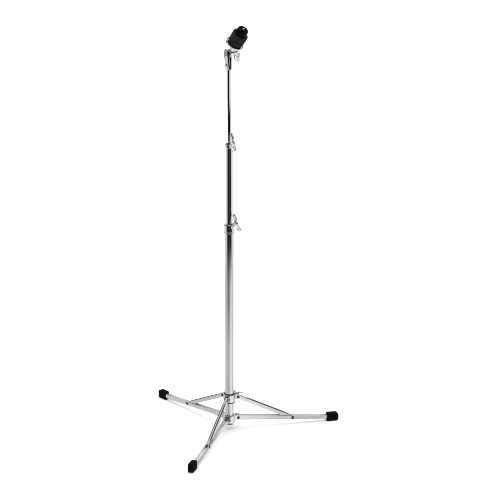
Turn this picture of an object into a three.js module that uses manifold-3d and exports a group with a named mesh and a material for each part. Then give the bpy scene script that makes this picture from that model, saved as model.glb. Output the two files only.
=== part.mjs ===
// Straight cymbal stand with flat-folding legs. Units: millimetres, +Z up.
// The column axis stands at x = 0, y = COLUMN_Y, so that the whole stand is centred on the origin.
import * as THREE from 'three';
import { mergeVertices } from 'three/addons/utils/BufferGeometryUtils.js';
import Module from 'manifold-3d';

const wasm = await Module();
wasm.setup();

// ---------------------------------------------------------------- driving dimensions
const COLUMN_Y = 80.46;        // column axis, so that the box of the stand is centred in Y
const FLOOR = 3.6;             // height of the floor in the construction frame below; Z is 0 there in the finished part
const GAP = 0.3;               // running clearance between touching pieces
const LEG_AZ = { front: 270, right: 30, left: 150 };   // leg directions round the column, degrees

// tubes
const BASE_R = 12.7, BASE_RI = 11.5, BASE_Z0 = 21, BASE_Z1 = 620;
const MID_R = 10.0, MID_RI = 8.8, MID_Z0 = 262, MID_Z1 = 865.6;
const ROD_R = 4.75, ROD_Z0 = 560, ROD_Z1 = 1106;

// leg fold linkage, in the vertical plane through a leg (r from the column axis, z)
const HUB_PIN = [25, 38.7];
const LEG_PIN = [191.7, 24.2];
const COLLAR_PIN = [25, 104];
const PIN_R = 2.2, PIN_HOLE = 2.5, PIN_HEAD = 4.6;

// leg and brace channels
const LEG_W = 13, LEG_T = 1.5, LEG_TOP = 6, LEG_BOT = -6, LEG_END = 297;
const BRACE_W = 9, BRACE_T = 1.3, BRACE_H = 6.2;

// hub and slider
const HUB_RO = 16.6, HUB_RI = 13.0, HUB_Z0 = 22, HUB_Z1 = 47;
const SL_RO = 17.4, SL_RI = 14.5, SL_Z0 = 89.8, SL_Z1 = 113.2;
const SL_SCREW_Z = 106.6;

// collars on the tube ends: inclined clamp screw that crosses the column axis at Z
const LC = { z0: 606.4, z1: 634.5, ro: 15.3, crossZ: 618.5, az: -30, wall: 15.3, turn: -7, inset: 6.3 };
const UC = { z0: 856, z1: 867, ro: 11.75, crossZ: 856.5, az: -44.7, wall: 11.75, turn: -5, inset: 3.2 };
const SCREW_TILT = 38;
const BOSS_R = 5.7, BOSS_LEN = 7.2, SCREW_R = 3.0, SCREW_HOLE = 3.4;

// tilter head
const HINGE_Z = 1123, HINGE_AZ = 60.4, POST_TILT = 40, POST_S = -1.0;
const CHEEK_R = 13;
const SEAT_L = 35.0, FELT_R = 22.7, FELT_L0 = 40.0, FELT_H = 18.0, NUT_L0 = 76.8, NUT_L1 = 94.2, POST_L = 97.2;

const rad = (d) => d * Math.PI / 180;
const V = (x, y, z) => new THREE.Vector3(x, y, z);

// ---------------------------------------------------------------- solids and booleans
function toManifold(geometry) {
  let g = geometry.clone();
  g.deleteAttribute('normal');
  g.deleteAttribute('uv');
  g = mergeVertices(g, 1e-4);
  return new wasm.Manifold(new wasm.Mesh({
    numProp: 3,
    vertProperties: new Float32Array(g.attributes.position.array),
    triVerts: new Uint32Array(g.index.array),
  }));
}
function toGeometry(m) {
  const mesh = m.getMesh();
  const g = new THREE.BufferGeometry();
  const n = mesh.vertProperties.length / mesh.numProp;
  const p = new Float32Array(n * 3);
  for (let i = 0; i < n; i++) for (let k = 0; k < 3; k++) p[3 * i + k] = mesh.vertProperties[i * mesh.numProp + k];
  g.setAttribute('position', new THREE.BufferAttribute(p, 3));
  g.setIndex(new THREE.BufferAttribute(new Uint32Array(mesh.triVerts), 1));
  return g;
}
const add = (...gs) => toGeometry(gs.slice(1).reduce((a, b) => a.add(toManifold(b)), toManifold(gs[0])));
const cut = (g, ...tools) => toGeometry(tools.reduce((a, b) => a.subtract(toManifold(b)), toManifold(g)));
const common = (a, b) => toGeometry(toManifold(a).intersect(toManifold(b)));

// cylinder from point a to point b
function rodBetween(a, b, r, seg = 16) {
  const d = b.clone().sub(a);
  const g = new THREE.CylinderGeometry(r, r, d.length(), seg, 1);
  g.applyQuaternion(new THREE.Quaternion().setFromUnitVectors(V(0, 1, 0), d.clone().normalize()));
  g.translate((a.x + b.x) / 2, (a.y + b.y) / 2, (a.z + b.z) / 2);
  return g;
}
// solid of revolution about Z from a closed [r, z] loop, or one that starts and ends on the axis
function turned(profile, seg = 22) {
  const pts = profile.map(([r, z]) => new THREE.Vector2(r, z));
  const onAxis = profile[0][0] === 0 && profile[profile.length - 1][0] === 0;
  if (!onAxis) pts.push(pts[0].clone());
  const g = new THREE.LatheGeometry(pts, seg);
  g.rotateX(Math.PI / 2);            // lathe axis Y becomes Z
  const m = toManifold(g);
  if (m.volume() < 0) {
    const idx = g.index.array;
    for (let i = 0; i < idx.length; i += 3) { const t = idx[i]; idx[i] = idx[i + 1]; idx[i + 1] = t; }
  }
  return g;
}
// prism from an XY outline, z from z0 to z1
function prism(outline, z0, z1, holes = []) {
  const s = outline instanceof THREE.Shape ? outline : new THREE.Shape(outline.map(([x, y]) => new THREE.Vector2(x, y)));
  for (const h of holes) {
    const path = new THREE.Path();
    path.absarc(h[0], h[1], h[2], 0, Math.PI * 2, true);
    s.holes.push(path);
  }
  const g = new THREE.ExtrudeGeometry(s, { depth: z1 - z0, bevelEnabled: false, curveSegments: 12 });
  g.translate(0, 0, z0);
  return g;
}
const block = (x0, y0, z0, x1, y1, z1) => {
  const g = new THREE.BoxGeometry(x1 - x0, y1 - y0, z1 - z0);
  g.translate((x0 + x1) / 2, (y0 + y1) / 2, (z0 + z1) / 2);
  return g;
};
const arc = (cx, cy, r, a0, a1, n) => Array.from({ length: n + 1 }, (_, i) => {
  const a = rad(a0 + (a1 - a0) * i / n);
  return [cx + r * Math.cos(a), cy + r * Math.sin(a)];
});
function basis(x, y, z, o) {
  return new THREE.Matrix4().makeBasis(x, y, z).setPosition(o);
}

// ---------------------------------------------------------------- materials
const finish = {
  chrome: { color: 0xdfe1e3, roughness: 0.08, metalness: 1 },
  satin: { color: 0xb9bab8, roughness: 0.34, metalness: 1 },
  rubber: { color: 0x17171a, roughness: 0.8, metalness: 0 },
  nylon: { color: 0x1b1b1d, roughness: 0.5, metalness: 0 },
  rivet: { color: 0x4a4540, roughness: 0.35, metalness: 1 },
  steel: { color: 0x8d8f92, roughness: 0.3, metalness: 1 },
  felt: { color: 0x2a2523, roughness: 1, metalness: 0 },
  abs: { color: 0x141416, roughness: 0.42, metalness: 0 },
};
const stand = new THREE.Group();
stand.position.set(0, COLUMN_Y, -FLOOR);
function piece(parent, name, geometry, look) {
  const m = new THREE.Mesh(geometry, new THREE.MeshStandardMaterial(finish[look]));
  m.name = name;
  parent.add(m);
  return m;
}

// ---------------------------------------------------------------- base tube, hub, plug
piece(stand, 'base_tube', turned([[BASE_RI, BASE_Z0], [BASE_R, BASE_Z0], [BASE_R, BASE_Z1], [BASE_RI, BASE_Z1]], 24), 'chrome');
piece(stand, 'tube_plug', turned([[0, 17.5], [BASE_R - 0.4, 17.5], [BASE_R, 18.4], [BASE_R, BASE_Z0 - GAP], [BASE_RI - GAP, BASE_Z0 - GAP], [BASE_RI - GAP, 33], [0, 33]], 22), 'nylon');

// a clevis: two ears that stand out from a ring towards +X, with a cross hole for the pin
function ears(inner, thick, z0, zPin, z1, rEnd, r0) {
  const half = (side) => {
    const outline = [[r0, z0], [HUB_PIN[0] - 3, z0], ...arc(HUB_PIN[0], zPin, rEnd, -70, 70, 5), [HUB_PIN[0] - 3, z1], [r0, z1]];
    const g = prism(outline, 0, thick, []);
    g.rotateX(Math.PI / 2);                    // outline Y becomes Z, depth runs towards -Y
    g.translate(0, side > 0 ? inner + thick : -inner, 0);
    return g;
  };
  return [half(1), half(-1)];
}
function clevisRing(ring, { inner, thick, z0, zPin, z1, rEnd, r0 }) {
  let g = ring;
  for (const az of Object.values(LEG_AZ)) {
    const pair = ears(inner, thick, z0, zPin, z1, rEnd, r0);
    for (const e of pair) { e.rotateZ(rad(az)); g = add(g, e); }
  }
  for (const az of Object.values(LEG_AZ)) {
    const h = rodBetween(V(HUB_PIN[0], -14, zPin), V(HUB_PIN[0], 14, zPin), PIN_HOLE, 10);
    h.rotateZ(rad(az));
    g = cut(g, h);
  }
  return g;
}
{
  const ring = turned([[HUB_RI, HUB_Z0 + 0.8], [HUB_RI + 0.8, HUB_Z0], [HUB_RO - 1, HUB_Z0], [HUB_RO, HUB_Z0 + 1], [HUB_RO, HUB_Z1 - 1.6], [HUB_RO - 1.6, HUB_Z1], [HUB_RI, HUB_Z1]], 24);
  piece(stand, 'base_hub', clevisRing(ring, { inner: 6.9, thick: 2.4, z0: 29.5, zPin: HUB_PIN[1], z1: 46.2, rEnd: 7.6, r0: 14.4 }), 'chrome');
}

// ---------------------------------------------------------------- wing screw, along +X from the boss face
// shank runs back to -shank, the hub and two swept ears stand out in front
function wingScrew({ shank, reach, width, inset = 4, thick = 3.8, hubR = 5.6, hubLen = 17 }) {
  const stem = rodBetween(V(-shank, 0, 0), V(1.5, 0, 0), SCREW_R, 12);
  const hub = turned([[0, 0], [hubR, 0], [hubR, 2.5], [hubR - 0.9, 4], [hubR - 0.9, hubLen - 4], [hubR - 2.4, hubLen - 0.6], [0, hubLen]], 16);
  hub.rotateY(Math.PI / 2);
  const a = inset, b = inset + width, m = (a + b) / 2, r = width / 2;
  const s = new THREE.Shape();
  s.moveTo(a + 1.5, 0);
  s.lineTo(a + 0.8, 6);
  s.bezierCurveTo(a + 0.2, 10, a - 0.4, 11, a + 0.2, reach * 0.48);
  s.bezierCurveTo(a + 0.6, reach * 0.74, m - r * 0.42, reach, m + 1.4, reach);
  s.bezierCurveTo(b - 1, reach, b, reach - r * 0.5, b, reach * 0.68);
  s.bezierCurveTo(b, reach * 0.46, b - 3.2, reach * 0.32, hubLen - 2.4, 3.2);
  s.lineTo(hubLen - 2.6, 0);
  s.closePath();
  const ear = () => {
    const g = new THREE.ExtrudeGeometry(s, { depth: thick, bevelEnabled: false, curveSegments: 5 });
    g.translate(0, 0, -thick / 2);
    return g;                                // outline in XY, thickness along Z
  };
  const up = ear(), down = ear();
  down.rotateX(Math.PI);
  const wings = add(up, down);
  wings.rotateX(Math.PI / 2);                // ears along +Z and -Z
  return add(stem, hub, wings);
}
// frame of a screw: X along it, Z in the vertical plane through it, turned about it by `turn`
function screwFrame(origin, az, tilt, turn) {
  const c = Math.cos(rad(tilt)), s = Math.sin(rad(tilt)), ca = Math.cos(rad(az)), sa = Math.sin(rad(az));
  const u = V(c * ca, c * sa, s);
  const v = V(-s * ca, -s * sa, c);
  const n = u.clone().cross(v);
  const w = v.clone().multiplyScalar(Math.cos(rad(turn))).add(n.clone().multiplyScalar(Math.sin(rad(turn))));
  return basis(u, w.clone().cross(u), w, origin);
}

// ---------------------------------------------------------------- clamp collars on the tube ends
function screwAxis(c) {
  const k = Math.cos(rad(SCREW_TILT));
  const u = V(k * Math.cos(rad(c.az)), k * Math.sin(rad(c.az)), Math.sin(rad(SCREW_TILT)));
  const o = V(0, 0, c.crossZ);
  const at = (s) => o.clone().add(u.clone().multiplyScalar(s));
  return { u, at, sWall: c.wall / k, k };
}
// the lower collar grips the top of the base tube and holds the bushing above its end
{
  const ax = screwAxis(LC);
  const sBoss = ax.sWall + BOSS_LEN;
  const ring = turned([[BASE_R + GAP, LC.z0], [LC.ro - 0.5, LC.z0], [LC.ro, LC.z0 + 0.5], [LC.ro, LC.z1 - 2], [LC.ro - 0.6, LC.z1 - 0.6], [LC.ro - 2, LC.z1], [MID_R + 0.6, LC.z1], [MID_R + 0.6, LC.z1 - 2.2], [BASE_R + GAP, LC.z1 - 2.2]], 24);
  const bore = turned([[0, LC.z0 - 5], [BASE_R + GAP, LC.z0 - 5], [BASE_R + GAP, LC.z1 - 2.2], [MID_R + 0.6, LC.z1 - 2.2], [MID_R + 0.6, LC.z1 + 30], [0, LC.z1 + 30]], 24);
  let boss = rodBetween(ax.at(13), ax.at(sBoss), BOSS_R, 16);
  boss = cut(boss, bore);
  let g = add(ring, boss);
  g = cut(g, rodBetween(ax.at(6), ax.at(sBoss + 5), SCREW_HOLE, 12));
  piece(stand, 'lower_collar', g, 'chrome');
  // bushing: sleeve inside the base tube, flange between the tube end and the collar lip
  let b = turned([[MID_R + GAP, 566], [BASE_RI - GAP, 566], [BASE_RI - GAP, BASE_Z1 + GAP], [BASE_R, BASE_Z1 + GAP], [BASE_R, LC.z1 - 2.5], [MID_R + GAP, LC.z1 - 2.5]], 24);
  b = cut(b, rodBetween(ax.at(6), ax.at(sBoss), SCREW_HOLE, 12));
  piece(stand, 'lower_bushing', b, 'nylon');
  const tip = (MID_R + GAP + 0.1 + SCREW_R * Math.sin(rad(SCREW_TILT))) / ax.k;
  const ws = wingScrew({ shank: sBoss + 0.4 - tip, reach: 28, width: 14.5, inset: LC.inset });
  ws.applyMatrix4(screwFrame(ax.at(sBoss + 0.4), LC.az, SCREW_TILT, LC.turn));
  piece(stand, 'lower_wing_screw', ws, 'chrome');
}
{
  const ax = screwAxis(UC);
  const sBoss = ax.sWall + BOSS_LEN;
  const ring = turned([[MID_R + GAP, UC.z0], [UC.ro - 0.5, UC.z0], [UC.ro, UC.z0 + 0.5], [UC.ro, UC.z1 - 1], [UC.ro - 1, UC.z1], [MID_R + GAP, UC.z1]], 24);
  const bore = turned([[0, UC.z0 - 12], [MID_R + GAP, UC.z0 - 12], [MID_R + GAP, UC.z1 + 30], [0, UC.z1 + 30]], 24);
  let boss = cut(rodBetween(ax.at(8), ax.at(sBoss), BOSS_R, 16), bore);
  let g = cut(add(ring, boss), rodBetween(ax.at(3), ax.at(sBoss + 5), SCREW_HOLE, 12));
  piece(stand, 'upper_collar', g, 'chrome');
  const mid = cut(turned([[MID_RI, MID_Z0], [MID_R, MID_Z0], [MID_R, MID_Z1], [MID_RI, MID_Z1]], 24), rodBetween(ax.at(6), ax.at(sBoss), SCREW_HOLE, 12));
  piece(stand, 'mid_tube', mid, 'chrome');
  const b = cut(turned([[ROD_R + GAP, 815], [MID_RI - GAP, 815], [MID_RI - GAP, MID_Z1 + GAP], [MID_R - 0.2, MID_Z1 + GAP], [MID_R - 0.2, 868.2], [MID_R - 1, 869], [ROD_R + GAP, 869]], 22), rodBetween(ax.at(3), ax.at(sBoss), SCREW_HOLE, 12));
  piece(stand, 'upper_bushing', b, 'nylon');
  const tip = (ROD_R + GAP + 0.1 + SCREW_R * Math.sin(rad(SCREW_TILT))) / ax.k;
  const ws = wingScrew({ shank: sBoss + 0.4 - tip, reach: 28, width: 14.5, inset: UC.inset });
  ws.applyMatrix4(screwFrame(ax.at(sBoss + 0.4), UC.az, SCREW_TILT, UC.turn));
  piece(stand, 'upper_wing_screw', ws, 'chrome');
}
piece(stand, 'mid_tube_guide', turned([[MID_R + GAP, MID_Z0 + 2], [BASE_RI - GAP, MID_Z0 + 2], [BASE_RI - GAP, MID_Z0 + 20], [MID_R + GAP, MID_Z0 + 20]], 22), 'nylon');
piece(stand, 'top_rod', turned([[0, ROD_Z0], [ROD_R - 0.8, ROD_Z0], [ROD_R, ROD_Z0 + 0.8], [ROD_R, ROD_Z1 - 0.8], [ROD_R - 0.8, ROD_Z1], [0, ROD_Z1]], 24), 'chrome');
piece(stand, 'rod_guide', turned([[ROD_R + GAP, ROD_Z0 + 2], [MID_RI - GAP, ROD_Z0 + 2], [MID_RI - GAP, ROD_Z0 + 18], [ROD_R + GAP, ROD_Z0 + 18]], 24), 'nylon');

// ---------------------------------------------------------------- slider with clevises for the braces
{
  const ring = turned([[SL_RI, SL_Z0], [SL_RO - 0.8, SL_Z0], [SL_RO, SL_Z0 + 0.8], [SL_RO, SL_Z1 - 1.4], [SL_RO - 1.4, SL_Z1], [SL_RI, SL_Z1]], 24);
  let g = clevisRing(ring, { inner: 4.9, thick: 2.4, z0: 96, zPin: COLLAR_PIN[1], z1: 112, rEnd: 7.6, r0: 15.6 });
  const bossEnd = 26.5;
  g = add(g, cut(rodBetween(V(0, 12, SL_SCREW_Z), V(0, bossEnd, SL_SCREW_Z), 6.4, 16), rodBetween(V(0, 0, 60), V(0, 0, 150), SL_RI, 24)));
  g = cut(g, rodBetween(V(0, 8, SL_SCREW_Z), V(0, bossEnd + 4, SL_SCREW_Z), SCREW_HOLE, 12));
  piece(stand, 'slider_collar', g, 'chrome');
  let b = turned([[BASE_R + GAP, SL_Z0 - 2.8], [SL_RO - 0.6, SL_Z0 - 2.8], [SL_RO - 0.2, SL_Z0 - 2.2], [SL_RO - 0.2, SL_Z0 - GAP], [SL_RI - GAP, SL_Z0 - GAP], [SL_RI - GAP, SL_Z1 + GAP], [SL_RI + 1.4, SL_Z1 + GAP], [SL_RI + 1.4, SL_Z1 + 1.8], [BASE_R + GAP, SL_Z1 + 1.8]], 24);
  b = cut(b, rodBetween(V(0, 8, SL_SCREW_Z), V(0, 20, SL_SCREW_Z), SCREW_HOLE, 12));
  piece(stand, 'slider_bushing', b, 'nylon');
  const ws = wingScrew({ shank: bossEnd + 0.4 - (BASE_R + GAP + 0.1), reach: 31, width: 16, hubR: 6.2 });
  ws.applyMatrix4(screwFrame(V(0, bossEnd + 0.4, SL_SCREW_Z), 90, 0, 90));
  piece(stand, 'slider_wing_screw', ws, 'chrome');
}

// ---------------------------------------------------------------- legs, braces, feet, pins
const legDir = Math.atan2(LEG_PIN[1] - HUB_PIN[1], LEG_PIN[0] - HUB_PIN[0]);   // slope of a leg at rest
const legA = Math.hypot(LEG_PIN[0] - HUB_PIN[0], LEG_PIN[1] - HUB_PIN[1]);
const braceB = Math.hypot(LEG_PIN[0] - COLLAR_PIN[0], LEG_PIN[1] - COLLAR_PIN[1]);
const braceDir = Math.atan2(COLLAR_PIN[1] - LEG_PIN[1], COLLAR_PIN[0] - LEG_PIN[0]);

// frame in the vertical plane of a leg: X outward along `dir`, Y across it, Z sideways
function planeFrame(az, r, z, dir) {
  const er = V(Math.cos(rad(az)), Math.sin(rad(az)), 0), ez = V(0, 0, 1);
  const x = er.clone().multiplyScalar(Math.cos(dir)).add(ez.clone().multiplyScalar(Math.sin(dir)));
  const y = er.clone().multiplyScalar(-Math.sin(dir)).add(ez.clone().multiplyScalar(Math.cos(dir)));
  return basis(x, y, x.clone().cross(y), er.clone().multiplyScalar(r).add(ez.clone().multiplyScalar(z)));
}
// leg: pressed channel, open on top, deeper at the hub, bent level before the foot.
// Local X along the leg from the hub pin, Y up, Z across.
const KNEE = 247, BEND = -legDir;               // last stretch runs level
function legSolid() {
  const c = Math.cos(BEND), s = Math.sin(BEND), L = LEG_END - KNEE;
  const k = (y, dx = 0) => [KNEE + dx - y * Math.tan(BEND / 2), y];
  const e = (y, dx = 0) => [KNEE + c * (L + dx) - s * y, s * (L + dx) + c * y];
  const outer = [...arc(0, -0.8, 7.2, 128, 232, 6).map(([x, y]) => [x, Math.min(LEG_TOP, Math.max(-8.2, y))]),
    [-1, -8.2], [31, -8.2], [50, LEG_BOT], k(LEG_BOT), e(LEG_BOT), e(LEG_TOP), k(LEG_TOP), [-2, LEG_TOP]];
  const body = prism(outer, -LEG_W / 2, LEG_W / 2);
  const pocket = prism([[-12, -4.2], [-1, -8.2 + LEG_T], [31, -8.2 + LEG_T], [50, LEG_BOT + LEG_T], k(LEG_BOT + LEG_T), e(LEG_BOT + LEG_T, 3), e(20, 3), k(20), [-12, 20]], -LEG_W / 2 + LEG_T, LEG_W / 2 - LEG_T);
  let g = cut(body, pocket);
  for (const x of [0, legA]) g = cut(g, rodBetween(V(x, 0, -10), V(x, 0, 10), PIN_HOLE, 10));
  return g;
}
// brace: narrower channel, web on its upper side at rest, open below. Local X from the leg
// pivot towards the slider, Y towards the open side. The slider end is open below its pin
// hole, so that the pin can leave it while the linkage is between its end positions.
function braceSolid() {
  const B = braceB, h = BRACE_H, e = 4.2;
  const outer = [...arc(0, 0, e, 118, 242, 6), [8.5, -h], [B, -h], ...arc(B, 0, h, -80, 80, 6), [B, h], [8.5, h]];
  const body = prism(outer, -BRACE_W / 2, BRACE_W / 2);
  const pocket = prism([[-12, -2.2], [-2, -2.6], [9, -h + BRACE_T], [B + 12, -h + BRACE_T], [B + 12, 20], [-12, 20]], -BRACE_W / 2 + BRACE_T, BRACE_W / 2 - BRACE_T);
  let g = cut(body, pocket);
  g = cut(g, rodBetween(V(0, 0, -10), V(0, 0, 10), PIN_HOLE, 10));
  g = cut(g, rodBetween(V(B, 0, -10), V(B, 0, 10), PIN_HOLE + 0.2, 10));
  g = cut(g, prism([[B + 2.68, 0.2], [B + 4.0, 12], [B - 24, 12], [B - 16.2, 6.2], [B - 11.3, 3.0], [B - 1.3, -2.3]], -10, 10));
  return g;
}
// rivet across the leg plane, centred on the local origin, head on each side
function rivet(half, head = PIN_HEAD, ht = 1.6) {
  const a = half + GAP;
  const p = [[0, -(a + ht)], [head - 1, -(a + ht)], [head, -a], [PIN_R, -a], [PIN_R, a], [head, a], [head - 1, a + ht], [0, a + ht]];
  return turned(p, 10);
}
// rubber foot: rounded boot on the level end of the leg, flat underneath
const footFrameZ = HUB_PIN[1] + KNEE * Math.sin(legDir);       // height of the level stretch
const footR0 = HUB_PIN[0] + KNEE * Math.cos(legDir);           // radius of the knee
const FOOT_L = 39, FOOT_W = 17.6, FOOT_H = 26, FOOT_R0 = footR0 + 25.4;
function footSolid() {
  const r = 6, b = 1.6, L = FOOT_L, H = FOOT_H;
  const side = [[b, b], [L - r, b], ...arc(L - b - r, b + r, r, -75, 0, 4), ...arc(L - b - 9, H - b - 9, 9, 10, 90, 5), ...arc(b + 4, H - b - 4, 4, 90, 180, 3)];
  const s = new THREE.Shape(side.map(([x, y]) => new THREE.Vector2(x, y)));
  const g = new THREE.ExtrudeGeometry(s, { depth: FOOT_W - 2 * b, bevelEnabled: true, bevelThickness: b, bevelSize: b, bevelSegments: 1, curveSegments: 6 });
  g.translate(0, 0, -(FOOT_W - 2 * b) / 2);
  // bring the underside exactly to 0
  g.computeBoundingBox();
  g.translate(-g.boundingBox.min.x, -g.boundingBox.min.y, 0);
  const mid = footFrameZ - FLOOR;
  const socket = block(-5, mid + LEG_BOT - GAP, -LEG_W / 2 - GAP, LEG_END - KNEE - 25.4 + GAP + 0.2, mid + LEG_TOP + GAP, LEG_W / 2 + GAP);
  return cut(g, socket);
}
const legGeo = legSolid(), braceGeo = braceSolid(), footGeo = footSolid();
for (const [name, az] of Object.entries(LEG_AZ)) {
  const legM = planeFrame(az, HUB_PIN[0], HUB_PIN[1], legDir);
  piece(stand, `leg_${name}`, legGeo.clone().applyMatrix4(legM), 'satin');
  piece(stand, `brace_${name}`, braceGeo.clone().applyMatrix4(planeFrame(az, LEG_PIN[0], LEG_PIN[1], braceDir)), 'satin');
  piece(stand, `foot_${name}`, footGeo.clone().applyMatrix4(planeFrame(az, FOOT_R0, FLOOR, 0)), 'rubber');
  piece(stand, `hub_pin_${name}`, rivet(9.3).applyMatrix4(planeFrame(az, HUB_PIN[0], HUB_PIN[1], 0)), 'rivet');
  piece(stand, `collar_pin_${name}`, rivet(7.3).applyMatrix4(planeFrame(az, COLLAR_PIN[0], COLLAR_PIN[1], 0)), 'rivet');
  piece(stand, `leg_pin_${name}`, rivet(6.5, 4.8).applyMatrix4(planeFrame(az, LEG_PIN[0], LEG_PIN[1], 0)), 'rivet');
}

// ---------------------------------------------------------------- tilter head
// h: horizontal hinge axis, positive towards the wing screw. t: horizontal, square to it.
const hAz = rad(HINGE_AZ);
const h = V(Math.cos(hAz), Math.sin(hAz), 0);
const t = V(Math.cos(hAz - Math.PI / 2), Math.sin(hAz - Math.PI / 2), 0);   // side the post leans to
const hinge = V(0, 0, HINGE_Z);
const hz = t.clone().cross(V(0, 0, 1));
const headM = basis(t, V(0, 0, 1), hz, hinge);                               // X = t, Y = up, Z along the hinge
const sgn = Math.sign(hz.dot(h));                                            // +1 where local Z runs with h
const along = (s) => hinge.clone().add(h.clone().multiplyScalar(s));
// slab across the hinge axis, outline in (t, up) about the hinge, from s0 to s1 along h
function slab(outline, s0, s1) {
  const z = sgn > 0 ? [s0, s1] : [-s1, -s0];
  return prism(outline, z[0], z[1]).applyMatrix4(headM);
}
const circleOutline = (r, n) => Array.from({ length: n }, (_, i) => [r * Math.cos(2 * Math.PI * i / n), r * Math.sin(2 * Math.PI * i / n)]);
{
  // socket with one cheek: a tapered round stem, saddled under the post's knuckle, with a long
  // pad on its cheek side that widens upwards into a disc beside the hinge plane
  const stem = turned([[0, 1077.8], [7.6, 1077.8], [8.3, 1078.6], [8.9, 1095], [9.8, 1107], [9.8, 1120], [0, 1120]], 22);
  const pad = slab([...arc(0, 0, CHEEK_R, -25, 205, 16), [-10.6, -12], [-7.2, -24], [-4.6, -45.2], [4.6, -45.2], [7.2, -24], [10.6, -12]], -12.8, -6.2);
  const clip = rodBetween(V(0, 0, 1070), V(0, 0, 1140), 13.6, 28);
  const tongue = slab([[-7.2, -24], [-4.6, -45.2], [4.6, -45.2], [7.2, -24], [7.2, -14], [-7.2, -14]], -7, -4);
  let body = cut(stem, rodBetween(along(-6.2), along(25), 12.9, 28));
  body = add(body, common(pad, clip), tongue);
  // the pad's outer face leans in towards the lower end
  const wedge = prism([[-20, 1060], [-8.7, 1060], [-9.8, 1077.8], [-12.3, 1118], [-12.7, 1136.2], [-12.7, 1140], [-20, 1140]], -20, 20);
  body = cut(body, wedge.applyMatrix4(basis(h, V(0, 0, 1), t, V(0, 0, 0))));
  body = cut(body, rodBetween(V(0, 0, 1060), V(0, 0, ROD_Z1 + GAP), ROD_R + GAP, 16));
  body = cut(body, rodBetween(along(-20), along(5), SCREW_HOLE, 12));
  body = cut(body, rodBetween(along(-20), along(-9.4), 5.6, 16));           // counterbore for the nut insert
  // set-screw hole, through the pad
  const ss = (k) => V(-h.x * k, -h.y * k, 1091.5);
  body = cut(body, rodBetween(ss(3), ss(16), 2.6, 12));
  piece(stand, 'tilter_body', body, 'chrome');
  const screw = cut(rodBetween(ss(ROD_R + GAP + 0.05), ss(9.6), 2.25, 12), rodBetween(ss(7.2), ss(13), 1.2, 6));
  piece(stand, 'tilter_set_screw', screw, 'steel');
  // nut insert pressed in the cheek, its thread open to the outside
  const nut = cut(add(rodBetween(along(-9.7), along(-10.9), 5.2, 16), rodBetween(along(-10.7), along(-11.5), 4.6, 16)), rodBetween(along(-20), along(0), SCREW_HOLE, 12));
  piece(stand, 'tilter_nut', nut, 'steel');
  // toothed friction washer between cheek and post knuckle
  const teeth = 18, ring = [];
  for (let i = 0; i < teeth * 2; i++) {
    const a = Math.PI * i / teeth, r = i % 2 ? 12.2 : 11.4;
    ring.push([r * Math.cos(a), r * Math.sin(a)]);
  }
  piece(stand, 'tilter_ratchet_washer', cut(slab(ring, -5.9, -4.7), rodBetween(along(-12), along(5), SCREW_HOLE, 12)), 'steel');
  const bossFace = 3.0;
  const ws = wingScrew({ shank: bossFace + 11.4, reach: 27.5, width: 22.5, inset: 15, hubR: 6.2, hubLen: 25, thick: 4.2 });
  ws.applyMatrix4(basis(h, V(0, 0, 1).cross(h), V(0, 0, 1), along(bossFace)));
  piece(stand, 'tilter_wing_screw', ws, 'chrome');
}
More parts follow.
